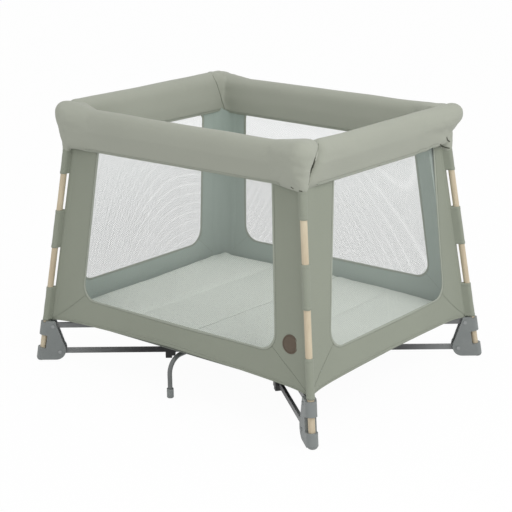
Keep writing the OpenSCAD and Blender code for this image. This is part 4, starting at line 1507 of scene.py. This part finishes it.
    def make(
        self, finishes: Finishes, stuffing: Stuffing, trees: tuple[StitchTree, PipingTree]
    ) -> None:
        """Makes the cover's two halves, which part at the rail's hinge.

        Args:
            finishes: The yard's materials.
            stuffing: How it is filled.
            trees: The stitches and the piping of its lower edge.
        """
        name = f"cover_{self.side.tag}"
        piece = hulled(name, self.rough())
        stuffing.fill(piece, self.held)
        self.crease(piece)
        piece.data.materials.append(finishes.cover)
        across = Vector(self.side.place(1.0, 0.0, 0.0))
        halves = (Half.B, Half.A)
        parts = split_at(piece, -across, [f"{name}_{half.name.lower()}" for half in halves])
        for half, part in zip(halves, parts):
            self.mount(part, half)
            self.sew(part, half, trees, finishes)

    def edge_lines(self, part: bpy.types.Object, half: Half, height: float, lift: float) -> list[np.ndarray]:
        """Lines on the cover's outer and inner face that follow its lower edge.

        Args:
            part: The half cover.
            half: Which half it is.
            height: How far above the lower edge they are.
            lift: How far off the cover they are.

        Returns:
            The lines.
        """
        length, reach = YARD.rail(self.side)
        inset, below = self.edge_from
        middle, away = self.face_from
        lines = []
        for face, stop in self.row_stops:
            line = []
            for u in np.linspace(self.row_start, length - stop, self.row_points):
                # The lower edge is found from below, and the face then from the side
                low = self.side.place(half.value * u, reach - inset, below)
                hit, edge, _, _ = part.ray_cast(tuple(low), (0.0, 0.0, 1.0))
                if not hit or edge.z > YARD.rail_z - self.edge_top:
                    continue
                start = self.side.place(half.value * u, reach - middle + face * away, edge.z + height)
                hit, place, normal, _ = part.ray_cast(tuple(start), tuple(self.side.place(0.0, -face, 0.0)))
                if hit:
                    line.append(np.array(place + normal * lift))
            if len(line) > 1:
                lines.append(np.array(line))
        return lines

    def sew(
        self, part: bpy.types.Object, half: Half, trees: tuple[StitchTree, PipingTree], finishes: Finishes
    ) -> None:
        """Sews the cover's lower edge: piping with a row of stitches above it, outside and inside."""
        bpy.context.view_layer.update()
        stitch, piping = trees
        rows = self.edge_lines(part, half, *self.stitch_row)
        seam = stitch.sew(f"{part.name}_stitches", rows, finishes.thread, Thickness=self.stitch_thick)
        cord = piping.sew(f"{part.name}_piping", self.edge_lines(part, half, *self.piping_row), finishes.tape)
        for piece in (seam, cord):
            report(piece, "sage_fabric")
            self.bend(piece, half)

    def held(self, points: np.ndarray) -> np.ndarray:
        """Holds the sewn lower edge and the snouts."""
        top, span = self.held_span
        return np.clip((self.shape.low + top - points[:, 2]) / span, 0, 1)

    def crease(self, piece: bpy.types.Object) -> None:
        """Adds the slack of the fabric: soft dents along the run and tighter folds near the corners."""
        points, normals = points_of(piece.data), normals_of(piece.data)
        length, _ = YARD.rail(self.side)
        turn = math.radians(90 * self.side.value)
        u = points[:, 0] * math.cos(turn) + points[:, 1] * math.sin(turn)
        seed = 3.1 + 5.0 * self.side.value
        corner = np.exp(-(((length - np.abs(u)) / self.fold_reach) ** 2))
        slack = self.soft.at(points, seed) + self.folds.at(points, seed + 9) * corner
        start, span = self.calm_span
        calm = np.clip((points[:, 2] - self.shape.low - start) / span, 0.1, 1)
        points = points + normals * (calm * slack)[:, None]
        for dent in self.dents.get(self.side, ()):
            points = points + dent.move(points)
        share = np.clip((points[:, 2] - self.settle_z) / (YARD.rail_z - self.settle_z), 0, 1)
        points[:, 2] -= share * (self.settle + self.tilt * points[:, 0] - self.shape.rise * points[:, 1])
        points[:, 2] -= (1 - share) * self.shape.low_tilt * (points[:, 0] + self.tilt_x)
        set_points(piece.data, points)

    def mount(self, part: bpy.types.Object, half: Half) -> None:
        """Hides the CAD rail cover, reports a half cover and bakes its place into its mesh."""
        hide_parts(f"rail_cover_{self.side.tag}")
        report(part, "sage_fabric")
        self.bend(part, half)

    def bend(self, part: bpy.types.Object, half: Half) -> None:
        """Bakes the place of a piece of a half cover into its mesh."""
        length, reach = YARD.rail(self.side)
        pivot = length - YARD.rail_step[0 if self.side.long else 1]
        places = [half.value * (pivot + shift) for shift in self.bend_span]
        start, end = (tuple(self.side.place(u, reach, YARD.rail_z)) for u in places)
        rail = f"rail_{self.side.tag}_{half.name.lower()}"
        f"corner_{corner_of(self.side, half)}"
        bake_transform(part)


@dataclass(frozen=True)
class Seam:
    """A seam, or a dark cord of painted shade in a gap, laid on whichever of some padded pieces is in front.
    """

    name: str
    radius: float
    # True for a dark cord of painted shade in a gap, false for a seam
    open: bool
    parts: tuple[str, ...]
    cover: tuple[Side, Half]
    path: tuple[tuple[float, float, float], ...]

    def lay(self, tree: PipingTree, finishes: Finishes) -> None:
        """Lays the line on its pieces, as seen from the camera's side."""
        bpy.context.view_layer.update()
        eye = Studio().eye
        line = []
        for point in evenly(np.array(self.path), 36):
            way = (Vector(point) - eye).normalized()
            hits = [bpy.data.objects[name].ray_cast(eye, way) for name in self.parts]
            found = [(place - eye).length for hit, place, _, _ in hits if hit]
            if found:
                line.append(np.array(eye + way * (min(found) + self.radius * 0.2)))
        # A gap gets a dark cord of painted shade
        finish = finishes.gap if self.open else finishes.thread
        piece = tree.sew(self.name, [np.array(line)], finish, Radius=self.radius)
        report(piece, "sage_fabric")
        side, half = self.cover
        RailCover(side).bend(piece, half)


@dataclass(frozen=True)
class Mattress:
    """The folding mattress: panels that swell between their fold lines."""

    half_x: float = 0.4600
    half_y: float = 0.3715
    low: float = 0.1325
    high: float = 0.1630
    edge_r: float = 0.010
    corner_r: float = 0.03
    # Place, lean and share of the depth of each fold line
    folds: tuple[tuple[float, float, float], ...] = (
        (-0.215, 0.02, 0.35), (0.0125, 0.04, 1.0), (0.235, -0.02, 0.25),
    )
    fold_half: float = 0.007
    # Depth and width of a fold line
    dent: tuple[float, float] = (0.0045, 0.006)
    held_top: float = 0.009
    seam_r: float = 0.0010
    seam_sunk: float = 0.0004
    # Height over the underside at which the top's slack starts, and the height over which it grows
    top_span: tuple[float, float] = (0.01, 0.02)
    # Wide waves and slanted fine ones
    slack: Ripple = Ripple(0.0022, (6, 6, 1))
    fine: Ripple = Ripple(0.0011, (34, 7, 1))
    fine_way: ClassVar[tuple[tuple[float, ...], ...]] = ((0.8, -0.6, 0), (0.6, 0.8, 0), (0, 0, 1.0))
    # Place, height and width of the corner that the tight fit lifts
    lift: tuple[float, float, float, float] = (-0.46, 0.37, 0.007, 0.12)
    ridge: tuple[float, float] = (0.007, 0.24)

    def fold_gaps(self, points: np.ndarray) -> list[np.ndarray]:
        """Distances of each point from each fold line."""
        return [np.abs(points[:, 0] - x - lean * points[:, 1]) for x, lean, _ in self.folds]

    def held(self, points: np.ndarray) -> np.ndarray:
        """Holds the underside and the fold lines."""
        under = points[:, 2] < self.low + self.held_top
        return np.where(under | (np.min(self.fold_gaps(points), axis=0) < self.fold_half), 1.0, 0.0)

    def seam(self, part: bpy.types.Object, end: str, tree: PipingTree, finishes: Finishes) -> None:
        """Lays the sewn fold line on a part: a dark cord that is partly a real seam and partly the crease's
        painted shade.
        """
        bpy.context.view_layer.update()
        x, lean, _ = self.folds[1]
        line = []
        for y in np.linspace(0.002, self.half_y - 0.02, 60) * (1 if end == "back" else -1):
            hit, place, _, _ = part.ray_cast((x + lean * y, float(y), 0.5), (0, 0, -1))
            if hit:
                line.append(np.array(place) - [0, 0, self.seam_sunk])
        name = f"{part.name}_fold_seam"
        piece = tree.sew(name, [np.array(line)], finishes.pad_seam, Radius=self.seam_r)
        report(piece, "mattress_cover")
        FOLD.drape(piece, end)

    def corners(self) -> np.ndarray:
        """Points whose hull is the mattress: its four rounded corners, with rounded edges."""
        cos, sin = circle(32)
        tilt = np.linspace(-math.pi / 2, math.pi / 2, 7)
        levels = [(self.low + self.edge_r, t) for t in tilt[:4]]
        levels += [(self.high - self.edge_r, t) for t in tilt[3:]]
        points = []
        for sx, sy in ((-1, -1), (-1, 1), (1, -1), (1, 1)):
            for level, t in levels:
                r = self.corner_r - self.edge_r + self.edge_r * math.cos(t)
                x = sx * (self.half_x - self.corner_r) + r * cos
                y = sy * (self.half_y - self.corner_r) + r * sin
                z = np.full(len(cos), level + self.edge_r * math.sin(t))
                points.append(np.stack([x, y, z], axis=-1))
        return np.vstack(points)

    def make(self, finishes: Finishes, stuffing: Stuffing, tree: PipingTree) -> None:
        """Makes the mattress as a front and a back part that lie flush, with its sewn fold line."""
        piece = hulled("mattress", [self.corners()])
        stuffing.fill(piece, self.held)
        self.finish(piece)
        piece.data.materials.append(finishes.pad)
        parts = split_at(piece, Vector((0, -1, 0)), ("mattress_back", "mattress_front"))
        for part, end in zip(parts, ("back", "front")):
            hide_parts("mattress_pad")
            report(part, "mattress_cover")
            FOLD.drape(part, end)
            self.seam(part, end, tree, finishes)

    def finish(self, piece: bpy.types.Object) -> None:
        """Presses the fold lines in and rumples the cover a little."""
        points = points_of(piece.data)
        start, span = self.top_span
        top = np.clip((points[:, 2] - self.low - start) / span, 0, 1)
        gaps = self.fold_gaps(points)
        depth, width = self.dent
        rise = np.zeros(len(points))
        for gap, (_, _, share) in zip(gaps, self.folds):
            rise -= depth * share * np.exp(-((gap / width) ** 2))
        height, reach = self.ridge
        rise += height * np.clip(1 - gaps[1] / reach, 0, 1)
        x, y, height, width = self.lift
        rise += height * np.exp(-((points[:, 0] - x) ** 2 + (points[:, 1] - y) ** 2) / width**2)
        fine = self.fine.at(points @ np.array(self.fine_way), 4.0)
        points[:, 2] += top * (rise + self.slack.at(points, 21.0) + fine)
        set_points(piece.data, points)


@dataclass(frozen=True)
class FloorCloth:
    """The cloth floor under the mattress, in two parts that lie flush."""

    z: float = 0.1308
    sag: float = 0.0006
    half_thick: float = 0.0009
    margin: float = 0.0015
    turn_up: float = 0.009
    turn_span: float = 0.014
    slack: Ripple = Ripple(0.0005, (11, 11, 1))
    # Distances from the rim of the rows that carry the turned-up edge
    rim: tuple[float, float, float] = (0.016, 0.010, 0.004)
    grid: tuple[int, int] = (80, 30)

    def make(self, finishes: Finishes) -> None:
        """Makes the floor's front and back parts."""
        wide = float(YARD.along(Side.FRONT, self.z)) - self.margin
        deep = float(YARD.along(Side.RIGHT, self.z)) - self.margin
        far, middle, near = self.rim
        columns, rows = self.grid
        for end, sign in (("front", -1), ("back", 1)):
            x = np.linspace(-wide, wide, columns)[1:-1] * (1 - far / wide)
            x = np.r_[-wide, -wide + near, x, wide - near, wide]
            y = sign * np.r_[np.linspace(0, deep - far, rows), deep - middle, deep - near, deep]
            grid = np.stack(np.meshgrid(x, y, indexing="ij"), axis=-1)
            flat = np.concatenate([grid, np.zeros((*grid.shape[:2], 1))], axis=-1)
            edge = np.minimum(1 - np.abs(grid[..., 0]) / wide, 1 - np.abs(grid[..., 1]) / deep)
            waves = self.slack.at(flat, 2.0) * np.clip(edge * 9, 0, 1)
            rim = np.minimum(wide - np.abs(grid[..., 0]), deep - np.abs(grid[..., 1]))
            turned = self.turn_up * np.clip(1 - rim / self.turn_span, 0, 1) ** 1.5
            flat[..., 2] = self.z - self.sag + waves + turned
            half = np.full(grid.shape[:2], self.half_thick)
            piece = layered(f"floor_{end}", flat, np.array([0.0, 0.0, 1.0]), half, (finishes.floor,))
            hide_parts("floor_cloth")
            report(piece, "sage_fabric")
            FOLD.drape(piece, end)


@dataclass(frozen=True)
class LeatherPatch:
    """A plain round leather patch with a sewn rim."""

    u: float = 0.4015
    z: float = 0.242
    radius: float = 0.025
    thick: float = 0.0016
    lift: float = 0.0003
    side: Side = Side.FRONT
    half: Half = Half.B
    # Share of the radius and height there: a flat back, a rounded rim, the sewn groove and a low crown
    profile: tuple[tuple[float, float], ...] = (
        (0.0, 0.0), (0.99, 0.0), (1.0, 0.35), (0.985, 0.85), (0.95, 1.0), (0.90, 0.95),
        (0.865, 0.62), (0.83, 0.62), (0.795, 0.98), (0.6, 1.08), (0.3, 1.14), (0.0, 1.16),
    )
    sewn: tuple[float, float] = (0.848, 0.75)
    stitch: ClassVar[dict[str, float]] = {"Pitch": 0.0034, "Length": 0.0012}

    def ring(self, turn: np.ndarray, share: float, up: float, lean: float = 0.0) -> np.ndarray:
        """Points on the wall, at angles, a share of the radius and a height over the wall.

        Args:
            turn: The angles.
            share: The share of the radius.
            up: The height, in thicknesses of the patch.
            lean: How far the height also moves them up the wall.

        Returns:
            The points.
        """
        rise = share * self.radius * np.sin(turn)
        out = YARD.outward(self.side, self.z + rise) + YARD.cloth / 2 + self.lift + up * self.thick
        return self.side.place(self.u + share * self.radius * np.cos(turn), out, self.z + rise + lean)

    def make(self, finishes: Finishes, tree: StitchTree) -> None:
        """Makes the patch and its stitches on the wall."""
        turn = np.linspace(0, math.tau, 72, endpoint=False)
        slope = YARD.slope[1] * self.thick
        rows = [self.ring(turn, share, up, slope * up) for share, up in self.profile]
        faces = grid_faces(len(rows), len(turn), 0, True)
        piece = mesh_piece("patch", np.vstack(rows), faces, (finishes.leather,))
        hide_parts("leather_patch")
        line = self.ring(np.linspace(0, math.tau, 90), *self.sewn)
        rim = tree.sew("patch_stitches", [line], finishes.brown_thread, **self.stitch)
        for made in (piece, rim):
            report(made, "leather")
            FOLD.hang(made, self.side, self.half)


# The whole yard


class Yard:
    """The play yard, from the frame's finishes to the last stitch."""

    sleeve_spans: ClassVar[tuple[tuple[float, float], ...]] = (
        (0.1255, 0.228), (0.348, 0.460), (0.568, 0.640),
    )
    # How much further the top sleeve runs up under the flared cover
    sleeve_more: ClassVar[float] = 0.020
    # Half widths of the windows at their lower and upper edge, for the a and b half
    windows: ClassVar[dict[Side, tuple[tuple[float, float], ...]]] = {
        Side.FRONT: ((0.352, 0.307), (0.352, 0.307)),
        Side.RIGHT: ((0.272, 0.181), (0.281, 0.290)),
        Side.BACK: ((0.358, 0.313), (0.352, 0.307)),
        Side.LEFT: ((0.256, 0.216), (0.282, 0.242)),
    }
    sills: ClassVar[dict[Side, float]] = {
        Side.FRONT: 0.212, Side.RIGHT: 0.210, Side.BACK: 0.225, Side.LEFT: 0.2205,
    }
    # Lower corner and arch of the short walls
    short_skirt: ClassVar[tuple[float, tuple[float, float]]] = (0.121, (0.009, 0.003))
    cover_stuffing: ClassVar[Stuffing] = Stuffing(voxel=0.0062, pressure=5.0, cap=0.005, smooth=7)
    pad_stuffing: ClassVar[Stuffing] = Stuffing(voxel=0.0095, pressure=4.0, cap=0.007)
    butt_parts: ClassVar[tuple[str, ...]] = ("cover_front_b", "cover_right_a")
    flap_parts: ClassVar[tuple[str, ...]] = (
        "cover_right_b", "cover_back_a", "sleeve_back_right_2", "wall_right_b",
    )
    # Seams, and dark cords of painted shade in the gaps beside the front right and back right pouches
    seams: ClassVar[tuple[Seam, ...]] = (
        Seam("seam_back_left", 0.0010, False, ("cover_left_a", "cover_back_b"), (Side.LEFT, Half.A), (
            (-0.385, 0.2533, 0.7794), (-0.385, 0.2713, 0.7531), (-0.385, 0.2851, 0.7227),
            (-0.385, 0.2965, 0.6923), (-0.385, 0.3082, 0.6662))),
        Seam("seam_front_right", 0.0008, False, butt_parts, (Side.RIGHT, Half.A), (
            (0.43, -0.2919, 0.7477), (0.43, -0.2950, 0.7326), (0.43, -0.3056, 0.7157),
            (0.43, -0.3153, 0.6987), (0.43, -0.3238, 0.6803), (0.43, -0.3278, 0.6636),
            (0.43, -0.3318, 0.6518))),
        Seam("gap_front_right", 0.0021, True, butt_parts, (Side.RIGHT, Half.A), (
            (0.43, -0.3056, 0.7157), (0.43, -0.3153, 0.6987), (0.43, -0.3238, 0.6803))),
        Seam("gap_front_tip_a", 0.0014, True, butt_parts, (Side.FRONT, Half.B), (
            (0.4103, -0.3762, 0.6525), (0.4149, -0.3723, 0.6482))),
        Seam("gap_front_tip_b", 0.0014, True, butt_parts, (Side.FRONT, Half.B), (
            (0.4258, -0.3634, 0.6430), (0.4315, -0.3588, 0.6414))),
        Seam("gap_front_right_wide", 0.0032, True, butt_parts, (Side.RIGHT, Half.A), (
            (0.43, -0.3084, 0.7087), (0.43, -0.3177, 0.6917))),
        Seam("gap_back_right_a", 0.0019, True, flap_parts, (Side.RIGHT, Half.B), (
            (0.435, 0.2764, 0.6541), (0.435, 0.2870, 0.6467), (0.435, 0.3053, 0.6405),
            (0.435, 0.3270, 0.6344))),
        Seam("gap_back_right_b", 0.0017, True, flap_parts, (Side.RIGHT, Half.B), (
            (0.435, 0.3099, 0.6692), (0.435, 0.3138, 0.6606), (0.435, 0.3268, 0.6534))),
        Seam("gap_back_right_c", 0.0028, True, flap_parts, (Side.RIGHT, Half.B), (
            (0.435, 0.2836, 0.6495), (0.435, 0.2937, 0.6442))),
    )

    def __init__(self) -> None:
        """Makes the finishes and the repeating trees."""
        self.finishes = Finishes()
        self.nets, self.stitches, self.piping = NetTree(), StitchTree(), PipingTree()

    def dress_frame(self) -> None:
        """Gives the rigid nodes their finishes."""
        f = self.finishes
        for prefix, material in {
            "post_": f.beech, "foot_bracket_": f.grey, "top_corner_": f.grey, "corner_rivets_": f.steel,
            "hub": f.black, "hub_pins": f.steel, "lower_bar_": f.bars, "upper_bar_": f.bars,
            "rail_": f.bars, "rail_hinge_": f.black, "lock_button_": f.grey,
            "middle_leg_": f.leg, "leg_cap_": f.grey,
        }.items():
            f.dress(prefix, material)

    def walls(self) -> None:
        """Makes the walls, nets and sleeves."""
        for side, edges in self.windows.items():
            more = {} if side.long else dict(zip(("corner_z", "arch"), self.short_skirt))
            for half, (low_u, high_u) in zip(Half, edges):
                wall = HalfWall(side, half, low_u, high_u, low=self.sills[side], **more)
                wall.cloth(self.finishes)
                wall.net(self.nets, self.finishes)
                wall.stitching(self.stitches, self.finishes)
        for corner in CORNERS:
            CornerLining(corner).make(self.finishes)
            for number, span in enumerate(self.sleeve_spans):
                top = number == len(self.sleeve_spans) - 1 and corner == RailCover.flare
                high = span[1] + (self.sleeve_more if top else 0.0)
                PostSleeve(corner, (span[0], high), number).make(self.finishes)

    def padding(self) -> None:
        """Makes the rail covers, the mattress, the floor and the patch."""
        for side in Side:
            RailCover(side).make(self.finishes, self.cover_stuffing, (self.stitches, self.piping))
        for seam in self.seams:
            seam.lay(self.piping, self.finishes)
        Mattress().make(self.finishes, self.pad_stuffing, self.piping)
        FloorCloth().make(self.finishes)
        LeatherPatch().make(self.finishes, self.stitches)


# Stage


@dataclass(frozen=True)
class Studio:
    """A pale floor, soft light and the camera."""

    azimuth: float = math.radians(39.2524)
    elevation: float = math.radians(16.5629)
    roll: float = math.radians(-0.5688)
    distance: float = 3.6639
    target: tuple[float, float, float] = (-0.00524, -0.00428, 0.31510)
    lens: float = 88.215
    sensor: float = 36.0
    far: float = 50.0
    ambient: float = 0.76
    floor_size: float = 30.0
    floor_colour: Colour = (0.86, 0.86, 0.86, 1.0)
    floor_glow: float = 0.965
    lamp_target: tuple[float, float, float] = (0.0, 0.0, 0.35)
    lamp_distance: float = 4.2
    # Name, azimuth, elevation, size and power of each lamp
    lamps: tuple[tuple[str, float, float, float, float], ...] = (
        ("key", 82, 42, 3.0, 68), ("fill", -10, 30, 3.0, 12),
    )

    @staticmethod
    def way(azimuth: float, elevation: float) -> Vector:
        """The direction from the yard to a place at two angles."""
        level = math.cos(elevation)
        return Vector((math.sin(azimuth) * level, -math.cos(azimuth) * level, math.sin(elevation)))

    @property
    def eye(self) -> Vector:
        """The camera's place."""
        return Vector(self.target) + self.way(self.azimuth, self.elevation) * self.distance

    def camera(self) -> None:
        """Puts the camera at the photograph's place."""
        back = self.way(self.azimuth, self.elevation)
        right = Vector((math.cos(self.azimuth), math.sin(self.azimuth), 0))
        up = back.cross(right)
        turned = right * math.cos(self.roll) + up * math.sin(self.roll)
        up = up * math.cos(self.roll) - right * math.sin(self.roll)
        data = bpy.data.cameras.new("camera")
        data.lens, data.sensor_width, data.clip_end = self.lens, self.sensor, self.far
        made = linked("camera", data)
        turn = Matrix((turned, up, back)).transposed().to_4x4()
        made.matrix_world = Matrix.Translation(self.eye) @ turn
        bpy.context.scene.camera = made

    def light(self, name: str, azimuth: float, elevation: float, size: float, power: float) -> None:
        """Adds a large soft lamp that looks at the yard."""
        away = self.way(math.radians(azimuth), math.radians(elevation))
        data = bpy.data.lights.new(name, "AREA")
        data.shape, data.size, data.energy = "DISK", size, power
        place = Matrix.Translation(Vector(self.lamp_target) + away * self.lamp_distance)
        linked(name, data).matrix_world = place @ away.to_track_quat("Z", "Y").to_matrix().to_4x4()

    @staticmethod
    def seen(graph: Graph) -> bpy.types.NodeSocket:
        """A share that is 1 for what the camera sees, also in a mirror or through glass."""
        path = graph.add("ShaderNodeLightPath").outputs
        total = path["Is Camera Ray"]
        for name in ("Is Glossy Ray", "Is Transmission Ray"):
            both = graph.add("ShaderNodeMath", {"operation": "MAXIMUM"}, {0: total, 1: path[name]})
            total = both.outputs[0]
        return total

    def world(self) -> None:
        """Lights the yard evenly from all round, in front of a white background."""
        world = bpy.data.worlds.new("studio")
        bpy.context.scene.world = world
        world.use_nodes = True
        graph = Graph(world.node_tree)
        nodes = graph.tree.nodes
        plain = graph.feed(nodes["Background"], {"Color": WHITE, "Strength": self.ambient})
        white = graph.add("ShaderNodeBackground", None, {"Color": WHITE, "Strength": 1.0})
        both = {0: self.seen(graph), 1: plain.outputs[0], 2: white.outputs[0]}
        mix = graph.add("ShaderNodeMixShader", None, both)
        graph.feed(nodes["World Output"], {"Surface": mix.outputs[0]})

    def floor(self) -> None:
        """Lays the floor, which stays under the feet while the frame folds."""
        bpy.ops.mesh.primitive_plane_add(size=self.floor_size, location=(0, 0, 0))
        floor = bpy.context.object
        floor.name = "floor"
        paint = Paint("pale_floor")
        paint.surface(Base_Color=self.floor_colour, Roughness=0.9)
        glow = paint.add("ShaderNodeEmission", None, {"Color": WHITE, "Strength": 1.0})
        share = Sock(paint, self.seen(paint)) * self.floor_glow
        both = {0: share, 1: paint.shader.outputs[0], 2: glow.outputs[0]}
        mix = paint.add("ShaderNodeMixShader", None, both)
        paint.feed(paint.tree.nodes["Material Output"], {"Surface": mix.outputs[0]})
        floor.data.materials.append(paint.material)
        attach(floor, "corner_front_left")

    def build(self) -> None:
        """Sets the stage."""
        self.camera()
        self.world()
        self.floor()
        for lamp in self.lamps:
            self.light(*lamp)
        bpy.context.scene.view_settings.view_transform = "Standard"


def main() -> None:
    """Builds the stage and the yard."""
    logging.basicConfig(level=logging.INFO, format="%(message)s")
    Studio().build()
    yard = Yard()
    yard.dress_frame()
    yard.walls()
    yard.padding()


if __name__ == "__main__":
    main()
